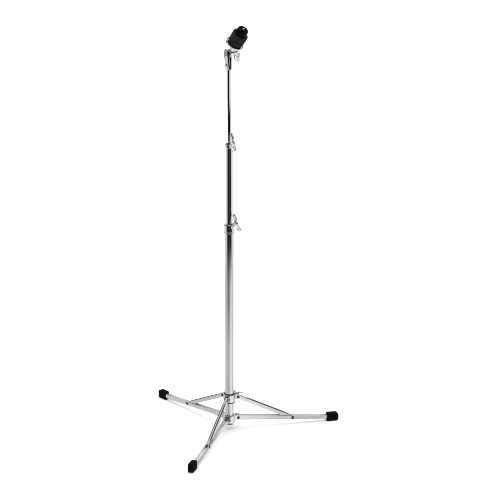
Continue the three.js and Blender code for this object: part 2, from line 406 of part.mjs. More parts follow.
// post: leans towards t by POST_TILT; everything on it is built along +Z and then leaned
const lean = rad(POST_TILT);
const p = t.clone().multiplyScalar(Math.sin(lean)).add(V(0, 0, Math.cos(lean)));
const postM = basis(h, p.clone().cross(h), p, along(POST_S));   // X = h, Y = p x h, Z = p
const leaned = (g) => g.applyMatrix4(postM);
{
  // knuckle: flat disc about the hinge axis with a neck, and the threaded post above it
  const disc = rodBetween(V(-3.4, 0, 0), V(3.4, 0, 0), 12.4, 28);
  const neck = turned([[0, 6], [3.5, 6], [3.5, 12.6], [6.2, 16.5], [7.6, 22], [7.6, 32], [6.2, 34], [6.2, SEAT_L - GAP], [3.9, SEAT_L - GAP], [3.9, POST_L - 1], [3.1, POST_L], [0, POST_L]], 24);
  let post = add(disc, neck);
  post = cut(post, rodBetween(V(-20, 0, 0), V(20, 0, 0), SCREW_HOLE, 12));
  piece(stand, 'cymbal_post', leaned(post), 'chrome');
  // seat washer: dished cup, hollow underneath, with a skirt round the felt's lower edge
  piece(stand, 'seat_washer', leaned(turned([[3.9 + GAP, SEAT_L], [9.5, SEAT_L], [11, SEAT_L + 1.6], [22.2, SEAT_L + 2], [23.6, SEAT_L + 0.6], [24.7, SEAT_L + 0.6], [25.2, SEAT_L + 1.6], [25.2, SEAT_L + 5.6], [24.6, SEAT_L + 6.2], [23.5, SEAT_L + 5.4], [23.5, SEAT_L + 3.7], [3.9 + GAP, SEAT_L + 3.7]], 24)), 'chrome');
  // sleeve over the post, flange against the washer
  piece(stand, 'post_sleeve', leaned(turned([[3.9 + GAP, SEAT_L + 4], [9, SEAT_L + 4], [9, SEAT_L + 4.7], [5.9, SEAT_L + 4.7], [5.9, NUT_L0 - 2], [3.9 + GAP, NUT_L0 - 2]], 22)), 'nylon');
  const feltRing = (z) => leaned(turned([[6.3, z + 0.6], [8.4, z], [FELT_R - 1.4, z], [FELT_R, z + 1.8], [FELT_R, z + FELT_H - 1.8], [FELT_R - 1.4, z + FELT_H], [6.3, z + FELT_H]], 24));
  piece(stand, 'lower_felt', feltRing(FELT_L0), 'felt');
  piece(stand, 'upper_felt', feltRing(FELT_L0 + FELT_H + 0.4), 'felt');
  // quick-release nut: drum with a low flange, a sunk top and two side windows for the buttons
  const N0 = NUT_L0, N1 = NUT_L1;
  let nut = turned([[3.9 + GAP, N0], [16.4, N0], [16.8, N0 + 0.5], [16.8, N0 + 2.8], [15.9, N0 + 3.8], [15.6, N1 - 3.2], [14.2, N1 - 0.8], [12.6, N1], [11, N1 - 0.7], [9.8, N1 - 3.2], [3.9 + GAP, N1 - 3.2]], 22);
  for (const sd of [1, -1]) nut = cut(nut, block(Math.min(sd * 7, sd * 21), -4.6, N0 + 5.4, Math.max(sd * 7, sd * 21), 4.6, N1 - 6));
  piece(stand, 'quick_release_nut', leaned(nut), 'abs');
  for (const [name, sd] of [['right', 1], ['left', -1]]) {
    // button with a rounded face that stands 2 mm proud of the nut, 2.1 mm of travel
    const plan = [[10.6, -4.3], [16.3, -4.3], [17.3, -2.6], [17.7, 0], [17.3, 2.6], [16.3, 4.3], [10.6, 4.3]].map(([x, y]) => [sd * x, y]);
    if (sd < 0) plan.reverse();
    piece(stand, `nut_button_${name}`, leaned(prism(plan, N0 + 5.7, N1 - 6.3)), 'abs');
  }
}

export default stand;
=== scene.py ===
"""Looks of the cymbal stand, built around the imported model. Lengths in this file are millimetres
about the column axis; make() turns them into metres in the row frame."""
import math

import bpy
import numpy as np
from mathutils import Matrix, Vector


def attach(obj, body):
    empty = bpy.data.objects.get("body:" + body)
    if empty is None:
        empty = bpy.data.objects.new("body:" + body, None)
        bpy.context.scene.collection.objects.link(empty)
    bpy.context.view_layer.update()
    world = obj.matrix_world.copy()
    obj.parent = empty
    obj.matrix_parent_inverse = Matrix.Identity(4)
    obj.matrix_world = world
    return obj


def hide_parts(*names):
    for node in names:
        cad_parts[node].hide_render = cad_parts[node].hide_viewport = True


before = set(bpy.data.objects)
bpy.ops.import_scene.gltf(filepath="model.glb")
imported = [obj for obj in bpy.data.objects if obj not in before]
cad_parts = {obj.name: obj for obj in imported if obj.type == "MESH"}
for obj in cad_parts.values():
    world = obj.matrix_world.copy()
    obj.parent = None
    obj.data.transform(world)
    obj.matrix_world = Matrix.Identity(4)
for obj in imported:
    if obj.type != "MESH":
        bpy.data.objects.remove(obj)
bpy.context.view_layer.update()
scene = bpy.context.scene

# ------------------------------------------------------------------ dimensions, as in the solids
CY = 80.46
FLOOR = 3.6                                   # height of the floor in the construction frame
LEGS = {"front": 270.0, "right": 30.0, "left": 150.0}
BASE_R, BASE_RI, BASE_Z0, BASE_Z1 = 12.7, 11.5, 21.0, 620.0
MID_R, MID_RI, MID_Z0, MID_Z1 = 10.0, 8.8, 262.0, 865.6
ROD_R, ROD_Z0, ROD_Z1 = 4.75, 560.0, 1106.0
HUB_PIN, LEG_PIN, COLLAR_PIN = (25.0, 38.7), (191.7, 24.2), (25.0, 104.0)
KNEE, LEG_END = 247.0, 297.0
LC = dict(z0=606.4, z1=634.5, ro=15.3, cross=618.5, az=-30.0, wall=15.3, turn=-7.0, inset=6.3)
UC = dict(z0=856.0, z1=867.0, ro=11.75, cross=856.5, az=-44.7, wall=11.75, turn=-5.0, inset=3.2)
SCREW_TILT = 38.0
BOSS_R, BOSS_LEN = 5.7, 7.2
HINGE_Z, HINGE_AZ, LEAN, POST_S = 1123.0, 60.4, 40.0, -1.0
SEAT_L, FELT_R, FELT_L0, FELT_H = 35.0, 22.7, 40.0, 18.0
NUT0, NUT1, POST_L = 76.8, 94.2, 97.2


def rad(d):
    return d * math.pi / 180


def unit(v):
    v = np.asarray(v, float)
    return v / np.linalg.norm(v)


def frame_of(x, y, z, o):
    m = np.eye(4)
    m[:3, 0], m[:3, 1], m[:3, 2], m[:3, 3] = x, y, z, o
    return m


def place(m, p):
    return np.asarray(p, float) @ m[:3, :3].T + m[:3, 3]


def plane_frame(az, r, z, slope):
    """X outward along the slope in the vertical plane of a leg, Y across it upward, Z sideways."""
    er = np.array([math.cos(rad(az)), math.sin(rad(az)), 0.0])
    ez = np.array([0.0, 0.0, 1.0])
    x = er * math.cos(slope) + ez * math.sin(slope)
    y = -er * math.sin(slope) + ez * math.cos(slope)
    return frame_of(x, y, np.cross(x, y), er * r + ez * z)


def screw_frame(o, az, tilt, turn):
    c, s, ca, sa = math.cos(rad(tilt)), math.sin(rad(tilt)), math.cos(rad(az)), math.sin(rad(az))
    u = np.array([c * ca, c * sa, s])
    v = np.array([-s * ca, -s * sa, c])
    n = np.cross(u, v)
    w = v * math.cos(rad(turn)) + n * math.sin(rad(turn))
    return frame_of(u, np.cross(w, u), w, o)


H = np.array([math.cos(rad(HINGE_AZ)), math.sin(rad(HINGE_AZ)), 0.0])
T = np.array([math.cos(rad(HINGE_AZ - 90)), math.sin(rad(HINGE_AZ - 90)), 0.0])
UP = np.array([0.0, 0.0, 1.0])
PDIR = T * math.sin(rad(LEAN)) + UP * math.cos(rad(LEAN))
HINGE = np.array([0.0, 0.0, HINGE_Z])
HEAD_M = frame_of(T, H, UP, HINGE)                                    # X = t, Y = h, Z up
POST_M = frame_of(H, np.cross(PDIR, H), PDIR, HINGE + H * POST_S)     # X = h, Z = along the post


# ------------------------------------------------------------------ material building
class Mat:
    def __init__(self, name, **sockets):
        self.m = bpy.data.materials.new(name)
        self.m.use_nodes = True
        self.t = self.m.node_tree
        self.b = next(n for n in self.t.nodes if n.type == "BSDF_PRINCIPLED")
        self.tc = self.t.nodes.new("ShaderNodeTexCoord")
        for k, v in sockets.items():
            self.b.inputs[k.replace("_", " ")].default_value = v

    def link(self, a, b):
        self.t.links.new(a, b)

    def coords(self, scale=(1, 1, 1), rot=(0, 0, 0), loc=(0, 0, 0)):
        n = self.t.nodes.new("ShaderNodeMapping")
        n.inputs["Scale"].default_value = scale
        n.inputs["Rotation"].default_value = rot
        n.inputs["Location"].default_value = loc
        self.link(self.tc.outputs["Object"], n.inputs["Vector"])
        return n.outputs["Vector"]

    def noise(self, scale, detail=4.0, rough=0.55, vec=None, distortion=0.0):
        n = self.t.nodes.new("ShaderNodeTexNoise")
        n.inputs["Scale"].default_value = scale
        n.inputs["Detail"].default_value = detail
        n.inputs["Roughness"].default_value = rough
        n.inputs["Distortion"].default_value = distortion
        self.link(vec if vec is not None else self.tc.outputs["Object"], n.inputs["Vector"])
        return n.outputs["Fac"]

    def voronoi(self, scale, vec=None, feature="F1"):
        n = self.t.nodes.new("ShaderNodeTexVoronoi")
        n.feature = feature
        n.inputs["Scale"].default_value = scale
        self.link(vec if vec is not None else self.tc.outputs["Object"], n.inputs["Vector"])
        return n.outputs["Distance"]

    def range(self, v, a, b, c, d, smooth=False):
        n = self.t.nodes.new("ShaderNodeMapRange")
        n.interpolation_type = "SMOOTHSTEP" if smooth else "LINEAR"
        n.inputs["From Min"].default_value, n.inputs["From Max"].default_value = a, b
        n.inputs["To Min"].default_value, n.inputs["To Max"].default_value = c, d
        self.link(v, n.inputs["Value"])
        return n.outputs["Result"]

    def math(self, op, a, b):
        n = self.t.nodes.new("ShaderNodeMath")
        n.operation = op
        for i, v in enumerate((a, b)):
            if isinstance(v, (int, float)):
                n.inputs[i].default_value = v
            else:
                self.link(v, n.inputs[i])
        return n.outputs[0]

    def ramp(self, v, stops):
        n = self.t.nodes.new("ShaderNodeValToRGB")
        e = n.color_ramp.elements
        while len(e) < len(stops):
            e.new(0.5)
        for el, (p, c) in zip(e, stops):
            el.position = p
            el.color = (*c, 1) if len(c) == 3 else c
        self.link(v, n.inputs["Fac"])
        return n.outputs["Color"]

    def mix(self, f, a, b):
        n = self.t.nodes.new("ShaderNodeMix")
        n.data_type = "RGBA"
        self.link(f, n.inputs["Factor"])
        self.link(a, n.inputs["A"])
        self.link(b, n.inputs["B"])
        return n.outputs["Result"]

    def bump(self, h, strength, distance, normal=None):
        n = self.t.nodes.new("ShaderNodeBump")
        n.inputs["Strength"].default_value = strength
        n.inputs["Distance"].default_value = distance
        self.link(h, n.inputs["Height"])
        if normal is not None:
            self.link(normal, n.inputs["Normal"])
        return n.outputs["Normal"]

    def to(self, name, v):
        self.link(v, self.b.inputs[name])


def chrome_material(name, tint, rough=(0.018, 0.07)):
    """Bright plate: faint cloudiness, wipe marks along the tube, fine scratches and a few pits."""
    k = Mat(name, Metallic=1.0)
    cloud = k.noise(9.0, 3, 0.5)
    wipe = k.noise(55.0, 5, 0.6, k.coords((1, 1, 0.12)))
    dark = tuple(c * 0.93 for c in tint)
    k.to("Base Color", k.ramp(cloud, [(0.3, dark), (0.7, tint)]))
    r = k.range(k.math("MULTIPLY", wipe, cloud), 0.12, 0.42, rough[0], rough[1])
    k.to("Roughness", r)
    scratch = k.noise(420.0, 2, 0.5, k.coords((1, 1, 0.03), (0.12, 0.0, 0.4)))
    fine = k.noise(900.0, 2, 0.5)
    pits = k.range(k.voronoi(240.0), 0.0, 0.08, 0.0, 1.0)
    h = k.math("ADD", k.math("MULTIPLY", scratch, 0.5), k.math("MULTIPLY", fine, 0.25))
    h = k.math("ADD", h, k.math("MULTIPLY", pits, 0.2))
    k.to("Normal", k.bump(h, 0.035, 0.0004))
    return k.m


def leg_material(name):
    """Plated pressed steel: satin, drawn along its length, small scuffs, and a dark line of painted shade along the
    tight bends where the "bend" mask is set (the braces).
    """
    k = Mat(name, Metallic=1.0)
    cloud = k.noise(14.0, 4, 0.6)
    base = k.ramp(cloud, [(0.25, (0.485, 0.481, 0.458)), (0.55, (0.560, 0.555, 0.530)), (0.8, (0.61, 0.605, 0.58))])
    # painted shade: where the "bend" mask is set, a near-black colour is painted along the bends to stand in for the
    # shade and dark reflection there
    painted_shade_line = k.ramp(k.noise(210.0, 4, 0.6), [(0.3, (0.060, 0.056, 0.050)), (0.7, (0.125, 0.120, 0.110))])
    bend = k.t.nodes.new("ShaderNodeAttribute")
    bend.attribute_name = "bend"
    k.to("Base Color", k.mix(bend.outputs["Fac"], base, painted_shade_line))
    draw = k.noise(260.0, 4, 0.6, k.coords((0.25, 0.25, 1.0)))
    scuff = k.range(k.noise(75.0, 6, 0.72), 0.55, 0.74, 0.0, 0.20)
    k.to("Roughness", k.math("ADD", k.range(draw, 0.3, 0.7, 0.15, 0.27), scuff))
    h = k.math("ADD", k.math("MULTIPLY", draw, 0.5), k.math("MULTIPLY", k.noise(1100.0, 2), 0.3))
    k.to("Normal", k.bump(h, 0.12, 0.0005))
    return k.m


def inner_material(name):
    """Inner faces of the channels: duller, rougher plate, with its colour painted lighter than the outside plate
    (painted light) so the inside of the channel does not read as shaded.
    """
    k = Mat(name, Metallic=0.45)
    cloud = k.noise(22.0, 4, 0.6)
    # painted light: base colour much lighter than the outer plate of the same steel
    k.to("Base Color", k.ramp(cloud, [(0.3, (0.72, 0.715, 0.70)), (0.7, (0.86, 0.855, 0.84))]))
    k.to("Roughness", k.range(k.noise(180.0, 4), 0.3, 0.7, 0.42, 0.6))
    k.to("Normal", k.bump(k.noise(900.0, 3), 0.15, 0.0004))
    return k.m


def steel_material(name, lo, hi, r0, r1):
    k = Mat(name, Metallic=1.0)
    n = k.noise(160.0, 5, 0.6)
    k.to("Base Color", k.ramp(n, [(0.3, lo), (0.7, hi)]))
    k.to("Roughness", k.range(k.noise(320.0, 4), 0.3, 0.7, r0, r1))
    k.to("Normal", k.bump(k.noise(1500.0, 3), 0.15, 0.0003))
    return k.m


def rubber_material(name):
    """Moulded black rubber: fine grain, dusty bloom low on the boot, rubbed lighter patches."""
    k = Mat(name)
    k.b.inputs["Specular IOR Level"].default_value = 0.05
    grain = k.noise(1300.0, 3, 0.6)
    cloud = k.noise(60.0, 5, 0.65)
    sep = k.t.nodes.new("ShaderNodeSeparateXYZ")
    k.link(k.tc.outputs["Object"], sep.inputs["Vector"])
    low = k.range(sep.outputs["Z"], 0.0, 0.012, 1.0, 0.0)
    bloom = k.math("MULTIPLY", low, k.range(cloud, 0.4, 0.7, 0.0, 0.7))
    base = k.ramp(cloud, [(0.3, (0.0012, 0.0011, 0.0010)), (0.7, (0.0032, 0.0029, 0.0024))])
    dust = k.ramp(grain, [(0.3, (0.0045, 0.0042, 0.0035)), (0.7, (0.010, 0.0092, 0.0078))])
    k.to("Base Color", k.mix(bloom, base, dust))
    k.to("Roughness", k.range(cloud, 0.3, 0.7, 0.48, 0.7))
    k.to("Normal", k.bump(k.math("ADD", grain, k.math("MULTIPLY", k.voronoi(700.0), 0.6)), 0.3, 0.0004))
    return k.m


def plastic_material(name, lo, hi, r0, r1, grain=900.0, spec=0.4):
    k = Mat(name)
    k.b.inputs["Specular IOR Level"].default_value = spec
    cloud = k.noise(80.0, 4, 0.6)
    k.to("Base Color", k.ramp(cloud, [(0.3, lo), (0.7, hi)]))
    k.to("Roughness", k.range(k.noise(grain * 0.3, 4), 0.3, 0.7, r0, r1))
    k.to("Normal", k.bump(k.voronoi(grain), 0.2, 0.0003))
    return k.m


def felt_material(name, lo, hi):
    """Pressed wool: tangled fibres at three scales, lint, soft sheen."""
    k = Mat(name, Roughness=1.0)
    k.b.inputs["Specular IOR Level"].default_value = 0.06
    k.b.inputs["Sheen Weight"].default_value = 0.04
    k.b.inputs["Sheen Roughness"].default_value = 0.6
    a = k.noise(500.0, 6, 0.7, k.coords((1, 0.22, 1), (0.5, 0.3, 0.9)), 2.0)
    b = k.noise(640.0, 6, 0.7, k.coords((0.25, 1, 1), (0.2, 1.1, 0.3)), 2.0)
    c = k.noise(120.0, 4, 0.6)
    fibre = k.math("MAXIMUM", a, b)
    tone = k.math("ADD", k.math("MULTIPLY", fibre, 0.7), k.math("MULTIPLY", c, 0.35))
    k.to("Base Color", k.ramp(tone, [(0.36, lo), (0.58, tuple((x + y) / 2 for x, y in zip(lo, hi))), (0.78, hi)]))
    k.to("Normal", k.bump(k.math("ADD", fibre, k.math("MULTIPLY", c, 0.5)), 0.8, 0.0011))
    return k.m


MATS = {
    "chrome": chrome_material("chrome_plate", (0.605, 0.60, 0.562)),
    "cast": chrome_material("chrome_cast", (0.625, 0.62, 0.59), (0.03, 0.09)),
    "bright": chrome_material("chrome_bright", (0.745, 0.74, 0.715), (0.03, 0.10)),
    "leg": leg_material("plated_channel"),
    "leg_in": inner_material("channel_inside"),
    "rubber": rubber_material("boot_rubber"),
    "nylon": plastic_material("black_nylon", (0.014, 0.014, 0.015), (0.030, 0.030, 0.031), 0.38, 0.52),
    "abs": plastic_material("nut_plastic", (0.0010, 0.0010, 0.0009), (0.0026, 0.0025, 0.0022), 0.24, 0.38, 1200.0, 0.045),
    "pin": steel_material("dark_rivet", (0.045, 0.038, 0.032), (0.095, 0.085, 0.075), 0.22, 0.40),
    "insert": steel_material("zinc_steel", (0.36, 0.36, 0.35), (0.52, 0.52, 0.51), 0.20, 0.38),
    "felt": felt_material("charcoal_felt", (0.0022, 0.0016, 0.0012), (0.027, 0.0188, 0.0138)),
}


# ------------------------------------------------------------------ mesh building
def make(name, verts, faces, mat, body, nodes=(), sharp=32.0, normals=None):
    me = bpy.data.meshes.new(name)
    p = (np.asarray(verts, float) + (0.0, CY, -FLOOR)) * 0.001
    me.from_pydata(p.tolist(), [], [tuple(int(i) for i in f) for f in faces])
    me.polygons.foreach_set("use_smooth", [True] * len(me.polygons))
    if normals is not None:
        me.normals_split_custom_set_from_vertices(np.asarray(normals, float).tolist())
    elif sharp:
        me.set_sharp_from_angle(angle=rad(sharp))
    me.materials.append(MATS[mat])
    ob = bpy.data.objects.new(name, me)
    scene.collection.objects.link(ob)
    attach(ob, body)
    if nodes:
        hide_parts(*nodes)
    return ob


def join(*parts):
    """Several (verts, faces[, normals]) as one; normals are kept when every part has them."""
    vs, fs, ns, n = [], [], [], 0
    for p in parts:
        vs.append(np.asarray(p[0], float))
        fs += [tuple(int(i) + n for i in f) for f in p[1]]
        if len(p) > 2:
            ns.append(np.asarray(p[2], float))
        n += len(p[0])
    out = [np.vstack(vs), fs]
    if len(ns) == len(parts):
        out.append(np.vstack(ns))
    return tuple(out)


def rounded(points, closed=True, n=5):
    """Polyline of (a, b[, radius]) with its corners turned to arcs."""
    pts = [np.array(p[:2], float) for p in points]
    rs = [p[2] if len(p) > 2 else 0.0 for p in points]
    out = []
    for i, b in enumerate(pts):
        if rs[i] <= 0 or (not closed and i in (0, len(pts) - 1)):
            out.append(b)
            continue
        a, c = pts[i - 1], pts[(i + 1) % len(pts)]
        la, lc = np.linalg.norm(a - b), np.linalg.norm(c - b)
        u, v = (a - b) / la, (c - b) / lc
        ang = math.acos(max(-1.0, min(1.0, float(u @ v))))
        if ang > math.pi - 1e-3:
            out.append(b)
            continue
        d = min(rs[i] / math.tan(ang / 2), 0.49 * la, 0.49 * lc)
        r = d * math.tan(ang / 2)
        cen = b + unit(u + v) * r / math.sin(ang / 2)
        a0 = math.atan2(*(b + u * d - cen)[::-1])
        a1 = math.atan2(*(b + v * d - cen)[::-1])
        da = (a1 - a0 + math.pi) % (2 * math.pi) - math.pi
        for k in range(n + 1):
            t = a0 + da * k / n
            out.append(cen + r * np.array([math.cos(t), math.sin(t)]))
    return np.array(out)


def volume(v, faces):
    s = 0.0
    for f in faces:
        for k in range(1, len(f) - 1):
            s += float(np.dot(v[f[0]], np.cross(v[f[k]], v[f[k + 1]])))
    return s / 6


def supported(prof, closed, gap=0.35):
    """Adds a point close to both ends of each long stretch, so that smooth shading stays true along it."""
    out = []
    m = len(prof)
    for i in range(m):
        a = prof[i]
        out.append(a)
        if i == m - 1 and not closed:
            break
        b = prof[(i + 1) % m]
        ln = np.linalg.norm(b - a)
        if ln > 4 * gap:
            d = (b - a) / ln
            out += [a + d * gap, b - d * gap]
    return np.array(out)


def lathe(profile, seg=64, closed=True, wobble=None):
    """Solid of revolution about Z. profile rows are (r, z); an open one starts and ends on the axis."""
    prof = supported(np.asarray(profile, float), closed)
    ang = 2 * math.pi * np.arange(seg) / seg
    verts, rings = [], []
    for r, z in prof:
        if r < 1e-6:
            rings.append([len(verts)])
            verts.append((0.0, 0.0, z))
        else:
            rings.append(list(range(len(verts), len(verts) + seg)))
            for a in ang:
                verts.append((r * math.cos(a), r * math.sin(a), z))
    faces = []
    m = len(prof)
    for i in range(m if closed else m - 1):
        a, b = rings[i], rings[(i + 1) % m]
        if len(a) == 1 and len(b) == 1:
            continue
        for k in range(seg):
            k2 = (k + 1) % seg
            if len(a) == 1:
                faces.append((a[0], b[k2], b[k]))
            elif len(b) == 1:
                faces.append((a[k], a[k2], b[0]))
            else:
                faces.append((a[k], a[k2], b[k2], b[k]))
    v = np.array(verts)
    if wobble is not None:
        v = wobble(v)
    if volume(v, faces) < 0:
        faces = [f[::-1] for f in faces]
    return v, faces


def thread(r, pitch, z0, z1, depth=0.5, seg=28, per=6):
    """Threaded rod about Z from z0 to z1, closed at both ends."""
    n = max(2, int((z1 - z0) / pitch * per))
    zs = np.linspace(z0, z1, n + 1)
    ang = 2 * math.pi * np.arange(seg) / seg
    verts = [(0.0, 0.0, z0)]
    for i, z in enumerate(zs):
        for a in ang:
            ph = (z / pitch - a / (2 * math.pi)) % 1.0
            cut = depth * (1 - abs(2 * ph - 1)) * 1.15
            rr = r - min(cut, depth)
            if i in (0, n):
                rr = r - depth
            verts.append((rr * math.cos(a), rr * math.sin(a), z))
    verts.append((0.0, 0.0, z1))
    faces = []
    for k in range(seg):
        k2 = (k + 1) % seg
        faces.append((0, 1 + k2, 1 + k))
        last = 1 + n * seg
        faces.append((last + k, last + k2, len(verts) - 1))
        for i in range(n):
            a = 1 + i * seg
            faces.append((a + k, a + k2, a + seg + k2, a + seg + k))
    return np.array(verts), faces


# -- implicit shapes: f(points) is negative inside; the surface is meshed as quads and pulled onto f = 0
def smin(a, b, k):
    h = np.maximum(k - np.abs(a - b), 0.0) / k
    return np.minimum(a, b) - h * h * k * 0.25


def smax(a, b, k):
    return -smin(-a, -b, k)


def capped(dx, dy, e=0.0):
    """Two distances to a shape's side and end joined with an edge radius e."""
    dx, dy = dx + e, dy + e
    return np.minimum(np.maximum(dx, dy), 0) + np.hypot(np.maximum(dx, 0), np.maximum(dy, 0)) - e


def sd_cyl(p, a, b, r, e=0.0):
    a, b = np.asarray(a, float), np.asarray(b, float)
    ln = np.linalg.norm(b - a)
    u = (b - a) / ln
    q = p - a
    t = q @ u
    rr = np.sqrt(np.maximum((q * q).sum(1) - t * t, 0))
    return capped(rr - r, np.abs(t - ln / 2) - ln / 2, e)


def sd_box(p, lo, hi, e=0.0):
    lo, hi = np.asarray(lo, float), np.asarray(hi, float)
    q = np.abs(p - (lo + hi) / 2) - (hi - lo) / 2 + e
    return np.linalg.norm(np.maximum(q, 0), axis=1) + np.minimum(q.max(1), 0) - e


def sd_poly(x, y, poly):
    poly = np.asarray(poly, float)
    d = np.full(len(x), 1e18)
    s = np.ones(len(x))
    for i in range(len(poly)):
        a, b = poly[i], poly[i - 1]
        ex, ey = b[0] - a[0], b[1] - a[1]
        wx, wy = x - a[0], y - a[1]
        t = np.clip((wx * ex + wy * ey) / max(ex * ex + ey * ey, 1e-12), 0, 1)
        d = np.minimum(d, (wx - ex * t) ** 2 + (wy - ey * t) ** 2)
        c1, c2, c3 = y >= a[1], y < b[1], ex * wy > ey * wx
        flip = (c1 & c2 & c3) | (~c1 & ~c2 & ~c3)
        s = np.where(flip, -s, s)
    return s * np.sqrt(d)


def surface(f, lo, hi, h, steps=4):
    """Mesh of f = 0 in a box: one vertex per mixed cell, then Newton steps onto the surface."""
    lo = np.asarray(lo, float) - 2.5 * h
    n = (np.ceil((np.asarray(hi, float) + 2.5 * h - lo) / h)).astype(int) + 1
    ax = [lo[i] + h * np.arange(n[i]) for i in range(3)]
    g = np.stack(np.meshgrid(*ax, indexing="ij"), -1).reshape(-1, 3)
    val = np.empty(len(g))
    for i in range(0, len(g), 250000):
        val[i:i + 250000] = f(g[i:i + 250000])
    val = val.reshape(n)
    ins = val < 0
    c = n - 1
    cnt = np.zeros(c, int)
    for dx in (0, 1):
        for dy in (0, 1):
            for dz in (0, 1):
                cnt += ins[dx:dx + c[0], dy:dy + c[1], dz:dz + c[2]]
    idx = np.argwhere((cnt > 0) & (cnt < 8))
    cid = -np.ones(c, int)
    cid[tuple(idx.T)] = np.arange(len(idx))
    acc, w = np.zeros((len(idx), 3)), np.zeros(len(idx))
    for axis in range(3):
        o1, o2 = [a for a in range(3) if a != axis]
        for s1 in (0, 1):
            for s2 in (0, 1):
                a = idx.copy()
                a[:, o1] += s1
                a[:, o2] += s2
                b = a.copy()
                b[:, axis] += 1
                fa, fb = val[tuple(a.T)], val[tuple(b.T)]
                m = (fa < 0) != (fb < 0)
                t = fa[m] / (fa[m] - fb[m])
                pt = a[m].astype(float)
                pt[:, axis] += t
                acc[m] += pt
                w[m] += 1
    v = lo + h * acc / w[:, None]
    faces = []
    for axis in range(3):
        o1, o2 = (axis + 1) % 3, (axis + 2) % 3
        sl_a = [slice(1, n[k] - 1) for k in range(3)]
        sl_a[axis] = slice(0, n[axis] - 1)
        sl_b = list(sl_a)
        sl_b[axis] = slice(1, n[axis])
        A, B = ins[tuple(sl_a)], ins[tuple(sl_b)]
        e = np.argwhere(A != B)
        start = A[tuple(e.T)]
        off = np.array([1, 1, 1])
        off[axis] = 0
        e = e + off
        q = []
        for d1, d2 in ((-1, -1), (0, -1), (0, 0), (-1, 0)):
            k = e.copy()
            k[:, o1] += d1
            k[:, o2] += d2
            q.append(cid[tuple(k.T)])
        q = np.stack(q, 1)
        q = np.where(start[:, None], q, q[:, ::-1])
        faces.append(q[(q >= 0).all(1)])
    faces = np.vstack(faces)
    eps = 0.02 * h

    def grad(p):
        out = np.empty_like(p)
        for k in range(3):
            d = np.zeros(3)
            d[k] = eps
            out[:, k] = (f(p + d) - f(p - d)) / (2 * eps)
        return out
    for _ in range(steps):
        fv, gr = f(v), grad(v)
        g2 = np.maximum((gr * gr).sum(1), 0.05)
        step = gr * (fv / g2)[:, None]
        ln = np.linalg.norm(step, axis=1)
        step *= np.minimum(1.0, 0.4 * h / np.maximum(ln, 1e-9))[:, None]
        v = v - step
    gr = grad(v)
    nr = gr / np.maximum(np.linalg.norm(gr, axis=1), 1e-9)[:, None]
    return v, faces.tolist(), nr


def moved(part, m):
    out = [place(m, part[0]), part[1]]
    if len(part) > 2:
        out.append(np.asarray(part[2]) @ m[:3, :3].T)
    return tuple(out)


def made(name, part, mat, body, nodes=(), sharp=32.0):
    return make(name, part[0], part[1], mat, body, nodes, sharp, part[2] if len(part) > 2 else None)


# ------------------------------------------------------------------ tubes, rod, plug, bushings
def ring(profile, seg=64, n=4):
    return lathe(rounded(profile, True, n), seg)


made("tube_base", ring([(BASE_RI, BASE_Z0, .4), (BASE_R, BASE_Z0, .4), (BASE_R, BASE_Z1, .4), (BASE_RI, BASE_Z1, .4)], 96), "chrome", "base", ["base_tube"])
made("plug_base", lathe(rounded([(0, 17.6), (8, 17.6, 1), (BASE_R - .1, 18.0, 1.0), (BASE_R - .1, BASE_Z0 - .3, .3), (BASE_RI - .3, BASE_Z0 - .3), (BASE_RI - .3, 33, .8), (0, 33)], False), 64, False), "nylon", "base", ["tube_plug"])
made("tube_middle", ring([(MID_RI, MID_Z0, .4), (MID_R, MID_Z0, .4), (MID_R, MID_Z1, .4), (MID_RI, MID_Z1, .4)], 96), "chrome", "middle_tube", ["mid_tube"])
made("rod_top", lathe(rounded([(0, ROD_Z0), (ROD_R, ROD_Z0, .9), (ROD_R, ROD_Z1, .9), (0, ROD_Z1)], False), 64, False), "chrome", "rod", ["top_rod"])
made("bushing_lower", ring([(10.1, 566, .3), (11.2, 566, .3), (11.2, 620.3), (12.7, 620.3, .3), (12.7, 632.0, .3), (10.52, 632.0), (10.52, 635.2, .2), (10.1, 635.2, .2)], 72), "nylon", "base", ["lower_bushing"])
made("bushing_upper", ring([(4.9, 815, .3), (8.5, 815, .3), (8.5, 865.9), (9.8, 865.9, .2), (9.8, 868.9, .7), (5.6, 869.0, .3), (4.9, 868.4, .2)], 72), "nylon", "middle_tube", ["upper_bushing"])
made("bushing_slider", join(
    ring([(13.0, 87.2, .3), (16.9, 87.2, .5), (17.2, 89.5, .2), (14.2, 89.5), (14.2, 113.4), (15.9, 113.4, .2), (15.7, 115.0, .4), (13.0, 115.0, .3)], 72)), "nylon", "slider", ["slider_bushing"])


# ------------------------------------------------------------------ wing screws, along +X
def bezier(p0, c1, c2, p3, n=9):
    t = np.linspace(0, 1, n)[:, None]
    p0, c1, c2, p3 = (np.array(q, float) for q in (p0, c1, c2, p3))
    return (1 - t) ** 3 * p0 + 3 * (1 - t) ** 2 * t * c1 + 3 * (1 - t) * t * t * c2 + t ** 3 * p3


